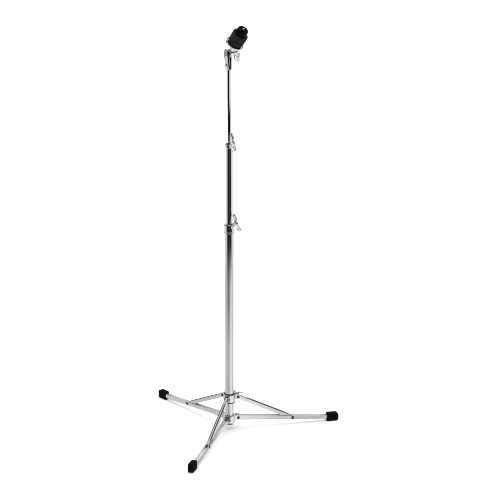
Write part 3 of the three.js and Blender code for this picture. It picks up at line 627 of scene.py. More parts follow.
def wing(shank, reach, width, inset, thick=4.0, hub_r=5.6, hub_len=17.0, full=False):
    a, b = inset, inset + width
    m, r = (a + b) / 2, width / 2
    e = 1.5
    poly = np.vstack([
        [(a + 1.5, -8), (a + 1.5, 0)],
        bezier((a + .8, 6), (a + .2, 10), (a - .4, 11), (a + .2, reach * .48)),
        bezier((a + .2, reach * .48), (a + .6, reach * .74), (m - r * .42, reach), (m + 1.4, reach))[1:],
        bezier((m + 1.4, reach), (b - 1, reach), (b, reach - r * .5), (b, reach * .68))[1:],
        bezier((b, reach * .68), (b, reach * .46), (b - 3.2, reach * .32), (hub_len - 2.4, 3.2))[1:] if not full else
        bezier((b, reach * .68), (b, reach * .46), (b - .4, reach * .30), (b - 2.2, 3.6))[1:],
        [(hub_len - 2.6, 0), (hub_len - 2.6, -8)],
    ])

    def f(p):
        x, y, z = p[:, 0], p[:, 1], np.abs(p[:, 2])
        rr = np.hypot(y, p[:, 2])
        cone = np.interp(x, [0, 2.4, 3.6, hub_len - 4, hub_len], [hub_r, hub_r, hub_r - .8, hub_r - 1.0, hub_r - 2.2])
        hub = capped(rr - cone, np.abs(x - hub_len / 2) - hub_len / 2, 1.1)
        half = np.interp(z, [0, reach * .35, reach], [thick * .62, thick * .5, thick * .43])
        dish = 0.35 * np.exp(-((z - reach * .62) / (reach * .22)) ** 2 - ((x - m) / (r * .55)) ** 2)
        ear = capped(sd_poly(x, z, poly), np.abs(y) - half + dish, e)
        return smin(hub, ear, 3.2)
    head = surface(f, (-.5, -hub_r, -reach), (b + .5, hub_r, reach), 0.6)
    tv, tf = thread(2.95, 1.25, 0.0, shank + 1.0, 0.45, 24, 5)
    turn = frame_of((0, 0, 1), (0, 1, 0), (-1, 0, 0), (1.0, 0, 0))
    tv = place(turn, tv)
    return (head, (tv, tf))


def wing_piece(name, parts, m, body, node):
    head, shank = parts
    ob = made(name, moved(head, m), "bright", body, [node])
    made(name + "_shank", (place(m, shank[0]), shank[1]), "insert", body)
    return ob


def screw_axis(c):
    k = math.cos(rad(SCREW_TILT))
    u = np.array([k * math.cos(rad(c["az"])), k * math.sin(rad(c["az"])), math.sin(rad(SCREW_TILT))])
    return u, (lambda s: np.array([0, 0, c["cross"]]) + u * s), c["wall"] / k, k


for tag, c, r_in, body_c, body_s in (("lower", LC, MID_R, "base", "lower_screw"), ("upper", UC, ROD_R, "middle_tube", "upper_screw")):
    u, at, s_wall, k = screw_axis(c)
    s_boss = s_wall + BOSS_LEN
    tip = (r_in + .4 + 3.0 * math.sin(rad(SCREW_TILT))) / k
    parts = wing(s_boss + .4 - tip, 28.0, 14.5, c["inset"])
    wing_piece("wing_screw_" + tag, parts, screw_frame(at(s_boss + .4), c["az"], SCREW_TILT, c["turn"]), body_s, tag + "_wing_screw")


def collar_lower():
    u, at, s_wall, k = screw_axis(LC)
    s_boss = s_wall + BOSS_LEN
    prof = [(0, LC["z0"]), (LC["ro"], LC["z0"]), (LC["ro"], LC["z1"] - 3.2), (LC["ro"] - 1.0, LC["z1"] - .9), (LC["ro"] - 3.4, LC["z1"]), (0, LC["z1"])]
    poly = [(-30, LC["z0"])] + prof[1:-1] + [(-30, LC["z1"])]

    def f(p):
        rr, z = np.hypot(p[:, 0], p[:, 1]), p[:, 2]
        body = sd_poly(rr, z, poly) + .9
        body = np.where(body > 0, body, body) - .9
        body = smax(body, -(np.hypot(rr - LC["ro"] - .35, z - (LC["z0"] + 4.2)) - .75), .5)
        boss = sd_cyl(p, at(8), at(s_boss), BOSS_R, .7)
        d = smin(body, boss, 1.8)
        d = smax(d, -np.minimum(capped(rr - 13.0, np.abs(z - (LC["z1"] - 35.7)) - 33.5, 0), rr - 10.62), .5)
        d = smax(d, -sd_cyl(p, at(4), at(s_boss + 6), 3.35), .4)
        return d
    return surface(f, (-16, -16, LC["z0"]), (30, 30 * 0 + 16, LC["z1"] + 12), 0.62)


def collar_upper():
    u, at, s_wall, k = screw_axis(UC)
    s_boss = s_wall + BOSS_LEN

    def f(p):
        rr, z = np.hypot(p[:, 0], p[:, 1]), p[:, 2]
        body = capped(rr - UC["ro"], np.abs(z - (UC["z0"] + UC["z1"]) / 2) - (UC["z1"] - UC["z0"]) / 2, 1.0)
        boss = sd_cyl(p, at(6), at(s_boss), BOSS_R, .7)
        d = smin(body, boss, 1.5)
        d = smax(d, -(rr - (MID_R + .12)), .4)
        d = smax(d, -sd_cyl(p, at(2), at(s_boss + 6), 3.35), .4)
        return d
    return surface(f, (-12, -22, UC["z0"] - 2), (22, 12, UC["z1"] + 12), 0.55)


made("collar_lower", collar_lower(), "cast", "base", ["lower_collar"])
made("collar_upper", collar_upper(), "cast", "middle_tube", ["upper_collar"])


# ------------------------------------------------------------------ hub and slider
def rot_to(p, az):
    c, s = math.cos(rad(-az)), math.sin(rad(-az))
    q = p.copy()
    q[:, 0] = c * p[:, 0] - s * p[:, 1]
    q[:, 1] = s * p[:, 0] + c * p[:, 1]
    return q


def sector(p):
    """Folds the points into the 120 degree sector of one leg, along +X."""
    a = np.degrees(np.arctan2(p[:, 1], p[:, 0]))
    k = np.round((a - 30) / 120.0) * 120.0 + 30.0
    r = np.hypot(p[:, 0], p[:, 1])
    b = np.radians(a - k)
    return np.stack([r * np.cos(b), r * np.sin(b), p[:, 2]], 1)


def clevis_cluster(ro, ri, z0, z1, e, inner, thick, ez0, ez1, zp, fill):
    poly = np.array([(8, ez0), (HUB_PIN[0] - 3, ez0)] + [
        (HUB_PIN[0] + 7.6 * math.cos(rad(a)), zp + 7.6 * math.sin(rad(a))) for a in np.linspace(-70, 70, 9)] + [(HUB_PIN[0] - 3, ez1), (8, ez1)])

    def f(p):
        rr, z = np.hypot(p[:, 0], p[:, 1]), p[:, 2]
        body = capped(rr - ro, np.abs(z - (z0 + z1) / 2) - (z1 - z0) / 2, e)
        q = sector(p)
        side = np.abs(q[:, 1])
        ear = capped(sd_poly(q[:, 0], z, poly), np.abs(side - inner - thick / 2) - thick / 2, .8)
        d = smin(body, ear, fill)
        slot = capped(side - inner, 14.6 - q[:, 0], 0)
        keep = np.maximum(np.abs(z - (z0 + z1) / 2) - 60, -(slot))
        d = np.where(q[:, 0] > ro + .2, smax(d, keep, .4), d)
        d = smax(d, -(rr - ri), .5)
        d = smax(d, -(np.hypot(q[:, 0] - HUB_PIN[0], z - zp) - 2.45), .3)
        return d
    return f


hub_f = clevis_cluster(16.6, 12.95, 22.0, 47.0, 1.3, 6.9, 2.4, 29.5, 46.2, HUB_PIN[1], 2.6)


def hub_all(p):
    d = hub_f(p)
    rr = np.hypot(p[:, 0], p[:, 1])
    return smax(d, -(np.hypot(rr - 17.1, p[:, 2] - 25.2) - .85), .4)


made("hub_base", surface(hub_all, (-34, -34, 21), (34, 34, 48), 0.72), "cast", "base", ["base_hub"])

slider_f = clevis_cluster(17.4, 14.5, 89.8, 113.2, 1.3, 4.9, 2.4, 96.0, 112.0, COLLAR_PIN[1], 2.4)


def slider_all(p):
    d = slider_f(p)
    boss = sd_cyl(p, (0, 12, 106.6), (0, 26.5, 106.6), 6.4, .8)
    boss = smax(boss, -(np.hypot(p[:, 0], p[:, 1]) - 14.5), .3)
    d = smin(d, boss, 3.0)
    return smax(d, -sd_cyl(p, (0, 8, 106.6), (0, 31, 106.6), 3.35), .4)


made("collar_slider", surface(slider_all, (-34, -34, 89), (34, 34, 114), 0.72), "cast", "slider", ["slider_collar"])
wing_piece("wing_screw_slider", wing(26.9 - 13.1, 31.0, 16.0, 4.0, 4.2, 6.2), screw_frame((0, 26.9, 106.6), 90, 0, 90), "slider_screw", "slider_wing_screw")


# ------------------------------------------------------------------ legs and braces: pressed channels
SLOPE = math.atan2(LEG_PIN[1] - HUB_PIN[1], LEG_PIN[0] - HUB_PIN[0])
LEG_A = math.hypot(LEG_PIN[0] - HUB_PIN[0], LEG_PIN[1] - HUB_PIN[1])
BRACE_B = math.hypot(LEG_PIN[0] - COLLAR_PIN[0], LEG_PIN[1] - COLLAR_PIN[1])
BRACE_DIR = math.atan2(COLLAR_PIN[1] - LEG_PIN[1], COLLAR_PIN[0] - LEG_PIN[0])


def section(half, top, bot, rc, walls=6, arcs=5, floor=4, rib=0.0):
    """Outer line of a U from one lip round the web to the other: rows (z, y). rib is the depth of a pressed
    groove along the middle of the web."""
    pts = [(-half, top + (bot + rc - top) * i / walls) for i in range(walls)]
    pts += [(-half + rc - rc * math.cos(rad(90 * i / arcs)), bot + rc - rc * math.sin(rad(90 * i / arcs))) for i in range(arcs)]
    flat = 2 * half - 2 * rc
    for i in range(floor + 1):
        t = min(max((min(i, floor - i) * flat / floor - .15) / 1.2, 0.0), 1.0)
        pts.append((-half + rc + flat * i / floor, bot + rib * t * t * (3 - 2 * t)))
    left = pts[:walls + arcs]
    return np.array(pts + [(-z, y) for z, y in left[::-1]])


def channel(stations, half, rc, start, end, bend, rib=None):
    """stations: (x, top, bottom). start/end give the x of the trimmed ends for a height y."""
    rows, dark = [], []
    n = len(stations)
    for i, (x, top, bot) in enumerate(stations):
        s = section(half, top, bot, rc, floor=14 if rib else 4, rib=rib(x) if rib else 0.0)
        row = []
        for z, y in s:
            xx = x
            web = abs(z) < half - rc * .9
            if i == 0:
                xx = start(y, web)
            elif i == 1:
                xx = (start(y, web) + x) / 2 if start(y, web) > x - 6 else x
            elif i == n - 1:
                xx = end(y, web)
            elif i == n - 2:
                xx = (end(y, web) + x) / 2 if end(y, web) < x + 6 else x
            row.append((*bend(xx, y), z))
        rows.append(row)
        k = np.minimum(np.arange(len(s)), len(s) - 1 - np.arange(len(s)))
        # mask for the painted shade line: 1 on the bends beside the web groove, 0 elsewhere and on channels without a
        # groove
        dark.append(np.interp(k, [5, 7, 12, 15], [0, 1, 1, 0]) * (min(rib(x) / .3, 1.0) if rib else 0.0))
    m = len(rows[0])
    v = np.array([p for row in rows for p in row])
    faces = [(i * m + j, i * m + j + 1, (i + 1) * m + j + 1, (i + 1) * m + j) for i in range(n - 1) for j in range(m - 1)]
    f = faces[len(faces) // 2 - (m - 1) // 2 + (m - 1) // 2]
    mid = m // 2
    q = (n // 2) * m + mid
    a, b, c = v[q], v[q + 1], v[q + m]
    if np.cross(b - a, c - a)[1] > 0:
        faces = [t[::-1] for t in faces]
    return v, faces, np.concatenate(dark)


def bend_leg(x, y):
    total, ln = -SLOPE, 16.0
    x0 = KNEE - ln / 2
    t = min(max((x - x0) / ln, 0.0), 1.0)
    a = total * t
    if x <= x0:
        return (x, y)
    r = ln / total
    cx, cy = x0 + r * math.sin(a), r * (1 - math.cos(a))
    if x > x0 + ln:
        cx += (x - x0 - ln) * math.cos(total)
        cy += (x - x0 - ln) * math.sin(total)
    return (cx - y * math.sin(a), cy + y * math.cos(a))


def leg_stations():
    xs = [0, 4, 8, 14, 20, 26, 31, 36, 41, 46, 50, 56, 70, 90, 110, 130, 150, 158, 168, 178, 190, 210, 228, 236, 239, 242, 245, 248, 251, 254, 257, 264, 276, 288, LEG_END]
    out = []
    for x in xs:
        t = min(max((x - 31) / 19.0, 0), 1)
        t = t * t * (3 - 2 * t)
        out.append((x, 6.0, -8.2 + 2.2 * t))
    return out


def leg_start(y, web):
    if web:
        return 1.5
    return -math.sqrt(max(7.2 ** 2 - min(abs(y + .8), 7.2) ** 2, 0.0)) * (1 if y > -6.5 else .6)


def brace_stations():
    xs = [0, 3, 6, 9, 12, 16, 20, 24, 28, 32, 36, 42, 60, 80, 100, 120, 138, 144, 149, 154, 159, 164, 168, 172, 177, 181, BRACE_B]
    out = []
    for x in xs:
        t = min(max(x / 9.0, 0), 1)
        h = 4.2 + 2.0 * t * t * (3 - 2 * t)
        out.append((x, h, -h))
    return out


def brace_start(y, web):
    return 5.0 if web else -math.sqrt(max(4.2 ** 2 - min(abs(y), 4.2) ** 2, 0.0))


def brace_end(y, web):
    return BRACE_B + (1.0 if web else math.sqrt(max(6.2 ** 2 - min(abs(y), 6.2) ** 2, 0.0)))


def channel_piece(name, part, m, mat, body, node, wall):
    ob = make(name, place(m, part[0]), part[1], mat, body, [node], None)
    # the painted shade mask goes on the mesh as the "bend" attribute, read by the plate material
    if part[2].any():
        ob.data.attributes.new("bend", "FLOAT", "POINT").data.foreach_set("value", part[2].astype(np.float32))
    s = ob.modifiers.new("wall", "SOLIDIFY")
    s.thickness, s.offset, s.use_even_offset, s.use_quality_normals = wall * .001, -1.0, True, True
    ob.data.materials.append(MATS["leg_in"])
    s.material_offset = 1
    b = ob.modifiers.new("edge", "BEVEL")
    b.width, b.segments, b.limit_method, b.angle_limit = 0.0003, 2, "ANGLE", rad(50)
    b.harden_normals = True
    return ob


leg_part = channel(leg_stations(), 6.5, 2.4, leg_start, lambda y, w: LEG_END, bend_leg)
brace_part = channel(brace_stations(), 4.5, 1.8, brace_start, brace_end, lambda x, y: (x, y),
                     lambda x: .8 * min(max((x - 14) / 22, 0), 1) * min(max((BRACE_B - 20 - x) / 22, 0), 1))


# ------------------------------------------------------------------ rubber feet
FOOT_Z = HUB_PIN[1] + KNEE * math.sin(SLOPE)
FOOT_R0 = HUB_PIN[0] + KNEE * math.cos(SLOPE) + 25.4


def foot_part():
    L, Hh, W = 39.0, 26.0, 17.6
    e = 3.2
    poly = rounded([(0, 0, 2.2), (L, 0, 10.5), (L, Hh, 14.0), (0, Hh, 5.0)], True, 8)
    plan = rounded([(-.1, -W / 2, 1.5), (L, -W / 2, 8.3), (L, W / 2, 8.3), (-.1, W / 2, 1.5)], True, 8)
    mid = FOOT_Z - FLOOR

    def f(p):
        x, y, z = p[:, 0], p[:, 1], p[:, 2]
        side = capped(sd_poly(x, y, poly), np.abs(z) - W / 2, e)
        d = smax(side, sd_poly(x, z, plan), 1.6)
        # three shallow grooves round the boot, sole grooves, and the socket for the leg
        shell = d
        for gx in (12.0, 17.0, 22.0):
            groove = np.maximum(np.hypot(x - gx, np.minimum(np.abs(shell + .15), 9)) - .95, 5.0 - y)
            d = smax(d, -groove, .6)
        for gx in (7.0, 13.0, 19.0, 25.0, 31.0):
            d = smax(d, -sd_box(p, (gx - 1.0, -3, -W / 2 + 2.6), (gx + 1.0, 1.1, W / 2 - 2.6), .4), .5)
        d = smax(d, -sd_box(p, (-6, mid - 6.15, -6.65), (25.6, mid + 6.15, 6.65), 1.2), .5)
        return d
    return surface(f, (0, 0, -8.8), (39, 26, 8.8), 0.6)


foot = foot_part()


# ------------------------------------------------------------------ rivets
def rivet_part(half, head=4.6, ht=1.6):
    a = half + .12
    p = [(0, -(a + ht)), (head * .55, -(a + ht * .86), 1.5), (head, -a - .15, .3), (head, -a), (2.2, -a), (2.2, a), (head, a), (head, a + .15, .3), (head * .55, a + ht * .86, 1.5), (0, a + ht)]
    return lathe(rounded(p, False, 4), 32, False)


for name, az in LEGS.items():
    lm = plane_frame(az, HUB_PIN[0], HUB_PIN[1], SLOPE)
    leg_body, brace_body = "leg_" + name, "brace_" + name
    channel_piece("channel_leg_" + name, leg_part, lm, "leg", leg_body, "leg_" + name, 1.5)
    channel_piece("channel_brace_" + name, brace_part, plane_frame(az, LEG_PIN[0], LEG_PIN[1], BRACE_DIR), "leg", brace_body, "brace_" + name, 1.3)
    made("boot_" + name, moved(foot, plane_frame(az, FOOT_R0, FLOOR, 0)), "rubber", leg_body, ["foot_" + name])
    made("rivet_hub_" + name, moved(rivet_part(9.3), plane_frame(az, *HUB_PIN, 0)), "pin", "base", ["hub_pin_" + name])
    made("rivet_slider_" + name, moved(rivet_part(7.3), plane_frame(az, *COLLAR_PIN, 0)), "pin", "slider", ["collar_pin_" + name])
    made("rivet_leg_" + name, moved(rivet_part(6.5, 4.8), plane_frame(az, *LEG_PIN, 0)), "pin", leg_body, ["leg_pin_" + name])


# ------------------------------------------------------------------ tilter
def tilter_part():
    edge = [(13.0 * math.cos(rad(a)), 13.0 * math.sin(rad(a))) for a in np.linspace(-25, 205, 24)]
    low = [(-10.2, -12), (-8.2, -24), (-5.6, -45.2), (5.6, -45.2), (8.2, -24), (10.2, -12)]
    web = [(-7.2, -24), (-4.6, -45.0), (4.6, -45.0), (7.2, -24), (7.2, -14), (-7.2, -14)]

    def f(p):
        a, s, z = p[:, 0], p[:, 1], p[:, 2]
        rr = np.hypot(a, s)
        cone = np.interp(z, [-45.2, -44.4, -3], [7.7, 8.0, 9.85])
        stem = capped(rr - cone, np.abs(z + 24.1) - 21.1, .7)
        stem = smax(stem, -sd_cyl(p, (0, -6.2, 0), (0, 25, 0), 12.9), .5)
        outer = np.interp(z, [-45.2, 13], [-9.3, -12.7])
        pad = capped(sd_poly(a, z, edge + low) + np.clip(-6.2 - s, 0, 8) * np.interp(z, [-40, -14, 2], [.26, .38, .12]), np.maximum(s + 6.2, outer - s), np.interp(z, [3, 9], [1.3, 3.2]))
        pad = smax(pad, rr - 13.6, 1.0)
        tongue = np.maximum(sd_poly(a, z, web), np.abs(s + 5.6) - 1.6)
        d = smin(smin(stem, tongue, .8), pad, 1.4)
        d = np.maximum(d, np.where(z > -7.5, s + 6.2, -1.0))
        d = smax(d, -sd_cyl(p, (0, 0, -60), (0, 0, -16.7), ROD_R + .12), .4)
        d = smax(d, -sd_cyl(p, (0, -20, 0), (0, 5, 0), 3.3), .3)
        d = smax(d, -sd_cyl(p, (0, -20, 0), (0, -9.4, 0), 5.7), .5)
        d = smax(d, -sd_cyl(p, (0, -16, -31.5), (0, -3, -31.5), 2.6), .4)
        return d
    return surface(f, (-14, -13.2, -46), (14, 10.5, 14), 0.42)


made("tilter_socket", moved(tilter_part(), HEAD_M), "cast", "tilter", ["tilter_body"])


def set_screw():
    def f(p):
        d = sd_cyl(p, (0, 0, ROD_R + .3), (0, 0, 9.4), 2.4, .35)
        hexd = np.max([p[:, 0] * math.cos(rad(a)) + p[:, 1] * math.sin(rad(a)) for a in range(0, 360, 60)], axis=0) - 1.1
        return np.maximum(d, -np.maximum(hexd, 7.0 - p[:, 2]))
    return surface(f, (-2.4, -2.4, 5), (2.4, 2.4, 9.4), 0.22)


made("set_screw_tilter", moved(set_screw(), frame_of(T, UP, np.cross(T, UP), HINGE - UP * 31.5)), "pin", "tilter", ["tilter_set_screw"])
nut_m = frame_of(UP, T, H, HINGE)
made("nut_insert_tilter", moved(ring([(3.05, -11.5, .3), (4.6, -11.5, .5), (4.6, -10.8), (5.3, -10.8, .3), (5.3, -9.6, .2), (3.05, -9.6, .2)], 6 * 8), nut_m), "insert", "tilter", ["tilter_nut"])


def toothed(r0, r1, depth, teeth, z0, z1, face):
    """Washer with teeth on its rim and radial ridges on both faces."""
    seg = teeth * 6
    ang = 2 * math.pi * np.arange(seg) / seg
    ph = np.abs(((np.arange(seg) % 6) / 6.0) * 2 - 1)
    rim = r1 - depth * (1 - np.clip(ph * 1.6, 0, 1))
    wav = face * (np.clip(ph * 1.6, 0, 1) - .5)
    rows = []
    for rr, z, k in ((r0, z0, 0), (5.2, z0, 0), (6.0, z0, 1), (None, z0, 1), (None, z1, -1), (6.0, z1, -1), (5.2, z1, 0), (r0, z1, 0)):
        r = rim if rr is None else np.full(seg, rr)
        zz = z + (wav * (-k) if k else 0)
        rows.append(np.stack([r * np.cos(ang), r * np.sin(ang), np.broadcast_to(zz, (seg,))], 1))
    v = np.vstack(rows)
    m = len(rows)
    f = [(i * seg + k, i * seg + (k + 1) % seg, ((i + 1) % m) * seg + (k + 1) % seg, ((i + 1) % m) * seg + k) for i in range(m) for k in range(seg)]
    if volume(v, f) < 0:
        f = [t[::-1] for t in f]
    return v, f


made("ratchet_washer", moved(toothed(3.4, 12.0, .7, 28, -5.95, -4.65, .25), nut_m), "insert", "tilter", ["tilter_ratchet_washer"], 25)
wing_piece("wing_screw_tilter", wing(14.4, 27.5, 22.5, 15.0, 4.4, 6.2, 25.0, True), frame_of(H, np.cross(UP, H), UP, HINGE + H * 3.0), "tilter_screw", "tilter_wing_screw")


# ------------------------------------------------------------------ post, washer, sleeve
def knuckle():
    prof = [(-9, 5), (3.6, 5), (3.6, 12.6), (6.3, 16.5), (7.6, 22), (7.6, 32), (6.3, 34), (6.3, 34.7), (-9, 34.7)]

    def f(p):
        x, y, z = p[:, 0], p[:, 1], p[:, 2]
        disc = capped(np.hypot(y, z) - 12.4, np.abs(x) - 3.4, .8)
        neck = sd_poly(np.hypot(x, y), z, prof) + .5
        neck = np.where(neck > 0, neck, neck) - .5
        d = smin(disc, neck, 3.0)
        d = smax(d, -sd_cyl(p, (-20, 0, 0), (20, 0, 0), 3.3), .4)
        return d
    return surface(f, (-8, -13, -13), (8, 13, 34.8), 0.5)


made("post_knuckle", moved(knuckle(), POST_M), "bright", "post", ["cymbal_post"])
tv, tf = thread(3.9, 1.25, 34.2, POST_L - 1.0, .5, 32, 6)
cap_v, cap_f = lathe(rounded([(0, POST_L - 1.2), (2.9, POST_L - 1.2), (2.9, POST_L - .9), (2.3, POST_L - .35, .5), (0, POST_L - .3)], False), 32, False)
made("post_thread", moved((tv, tf), POST_M), "pin", "post")
made("post_end", moved((cap_v, cap_f), POST_M), "bright", "post")
S = SEAT_L
made("washer_seat", moved(ring([(4.1, S, .2), (9.5, S, .8), (11, S + 1.6, 1.0), (22.2, S + 2.0, 1.0), (23.6, S + .6, .4), (24.7, S + .6, .5), (25.2, S + 1.6, .6), (25.2, S + 5.6, .5), (24.6, S + 6.2, .3), (23.5, S + 5.4, .4), (23.5, S + 3.7, .4), (4.1, S + 3.7, .2)], 96, 5), POST_M), "bright", "post", ["seat_washer"])
made("sleeve_post", moved(ring([(4.1, S + 4.0, .2), (9, S + 4.0, .25), (9, S + 4.7, .25), (5.9, S + 4.7, .2), (5.9, NUT0 - 2, .5), (4.1, NUT0 - 2, .3)], 64), POST_M), "nylon", "post", ["post_sleeve"])


# ------------------------------------------------------------------ felts
def felt_piece(name, z, seed, node, body, taper):
    rs = np.random.default_rng(seed)
    seg = 120
    raw = rounded([(6.3, z + .4, .6), (FELT_R - .2 - taper, z, 2.6), (FELT_R - .2 - taper * .1, z + FELT_H, 2.6), (6.3, z + FELT_H - .4, .6)], True, 6)
    dense = []
    for i in range(len(raw)):
        a, b = raw[i], raw[(i + 1) % len(raw)]
        k = max(1, int(np.linalg.norm(b - a) / 1.3))
        dense += [a + (b - a) * j / k for j in range(k)]
    amp = rs.normal(size=(14, 3))
    frq = rs.uniform(.12, .55, size=(14, 3)) * rs.choice([-1, 1], size=(14, 3))
    phs = rs.uniform(0, 6.28, size=14)

    def wobble(v):
        cen = np.array([0, 0, z + FELT_H / 2])
        d = v - cen
        out = d / np.array([FELT_R, FELT_R, FELT_H / 2]) ** 2
        out /= np.linalg.norm(out, axis=1)[:, None]
        s = sum(np.sin(v @ frq[i] + phs[i]) for i in range(14)) / 14
        fine = rs.normal(size=len(v)) * .07
        return v + out * (s * .38 + fine - .28)[:, None]
    v, f = lathe(np.array(dense), seg, True, wobble)
    v = place(POST_M, v)
    ob = make(name, v, f, "felt", body, [node], None)
    # stray wool fibres that stand off the surface
    lv, lf = [], []
    pts = rs.choice(len(v), 900, replace=False)
    cen = place(POST_M, [[0, 0, z + FELT_H / 2]])[0]
    nrm = np.array([q.normal[:] for q in ob.data.vertices])
    for i in pts:
        n = nrm[i]
        rel = v[i] - cen
        if np.linalg.norm(rel - (rel @ PDIR) * PDIR) < 12:
            continue
        side = unit(np.cross(n, rs.normal(size=3)))
        ln, r = rs.uniform(.7, 2.0), .045
        p0 = v[i] - n * .15
        pts3 = [p0, p0 + n * ln * .35 + side * ln * .35, p0 + n * ln * rs.uniform(.25, .6) + side * ln]
        w = unit(np.cross(n, side))
        base = len(lv)
        for j, q in enumerate(pts3):
            rr = r * (1 - .35 * j)
            lv += [q + w * rr, q - w * rr * .5 + n * rr * .86, q - w * rr * .5 - n * rr * .86]
        for j in range(2):
            for k in range(3):
                a, b = base + 3 * j + k, base + 3 * j + (k + 1) % 3
                lf.append((a, b, b + 3, a + 3))
        lf += [(base + 2, base + 1, base), (base + 6, base + 7, base + 8)]
    make(name + "_lint", lv, lf, "felt", body, (), None)
    return ob


felt_piece("felt_disc_lower", FELT_L0, 11, "lower_felt", "felt_lower", 1.9)
felt_piece("felt_disc_upper", FELT_L0 + FELT_H + .4, 23, "upper_felt", "felt_upper", .2)


# ------------------------------------------------------------------ quick-release nut
def nut_part():
    poly = [(-12, NUT0), (16.3, NUT0), (16.7, NUT0 + .5), (16.7, NUT0 + 2.8), (15.9, NUT0 + 3.9), (15.5, NUT1 - 3.2), (14.05, NUT1 - 1.1), (12.5, NUT1 - .15), (11, NUT1 - .8), (9.8, NUT1 - 3.2), (-12, NUT1 - 3.2)]

    def f(p):
        x, y, z = p[:, 0], p[:, 1], p[:, 2]
        rr = np.hypot(x, y)
        d = sd_poly(rr, z, poly)
        d = smax(d, -sd_box(np.stack([np.abs(x), y, z], 1), (7.0, -4.6, NUT0 + 5.4), (21, 4.6, NUT1 - 6), .4), .5)
        d = smax(d, -(rr - 4.2), .5)
        # grip flutes between the buttons
        a = np.arctan2(y, x)
        for g in (56, 73, 90, 107, 124):
            for sgn in (1, -1):
                gx, gy = 16.45 * math.cos(rad(g * sgn)), 16.45 * math.sin(rad(g * sgn))
                flute = np.maximum(np.hypot(x - gx, y - gy) - 1.45, np.abs(z - (NUT0 + 9.4)) - 4.6)
                d = smax(d, -flute, .5)
        return d
    return surface(f, (-17, -17, NUT0), (17, 17, NUT1), 0.5)


def button_part(sd):
    def f(p):
        x, y, z = p[:, 0] * sd, p[:, 1], p[:, 2]
        face = 17.6 - (y / 4.3) ** 2 * 1.3
        d = sd_box(np.stack([x, y, z], 1), (10.6, -4.3, NUT0 + 5.7), (19, 4.3, NUT1 - 6.3), .5)
        d = smax(d, x - face, .9)
        for k in (-1.8, 0, 1.8):
            d = smax(d, -(np.hypot(x - 17.75 + (y / 4.3) ** 2 * 1.3, z - (NUT0 + NUT1 - .6) / 2 - k) - .45), .3)
        return d
    lo, hi = (10.6, 17.8) if sd > 0 else (-17.8, -10.6)
    return surface(f, (lo, -4.5, NUT0 + 5.5), (hi, 4.5, NUT1 - 6), 0.4)


made("nut_body", moved(nut_part(), POST_M), "abs", "nut", ["quick_release_nut"])
made("button_right", moved(button_part(1), POST_M), "abs", "button_right", ["nut_button_right"])
made("button_left", moved(button_part(-1), POST_M), "abs", "button_left", ["nut_button_left"])

# solids that stay as they are get the plastic of the inner guides
for n in ("mid_tube_guide", "rod_guide"):
    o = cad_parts[n]
    o.data.materials.clear()
    o.data.materials.append(MATS["nylon"])


# ------------------------------------------------------------------ stage, light, camera
def plane(name, pts, mat):
    me = bpy.data.meshes.new(name)
    me.from_pydata([tuple(q) for q in pts], [], [tuple(range(len(pts)))])
    me.materials.append(mat)
    ob = bpy.data.objects.new(name, me)
    scene.collection.objects.link(ob)
    return ob


k = Mat("floor_paper", Roughness=0.9)
k.b.inputs["Specular IOR Level"].default_value = 0.1
k.to("Base Color", k.ramp(k.noise(0.7, 3), [(0.3, (0.86, 0.85, 0.85)), (0.7, (0.88, 0.875, 0.875))]))
floor_obj = plane("floor", [(-60, -60, 0), (60, -60, 0), (60, 60, 0), (-60, 60, 0)], k.m)

CAM_AZ = 18.3
cx, sx = math.cos(rad(CAM_AZ)), math.sin(rad(CAM_AZ))


def polar(r, a, z=0.0):
    """Point a degrees to the right of the camera's side of the column."""
    t = rad(-90 + CAM_AZ + a)
    return (r * math.cos(t), CY * .001 + r * math.sin(t), z)


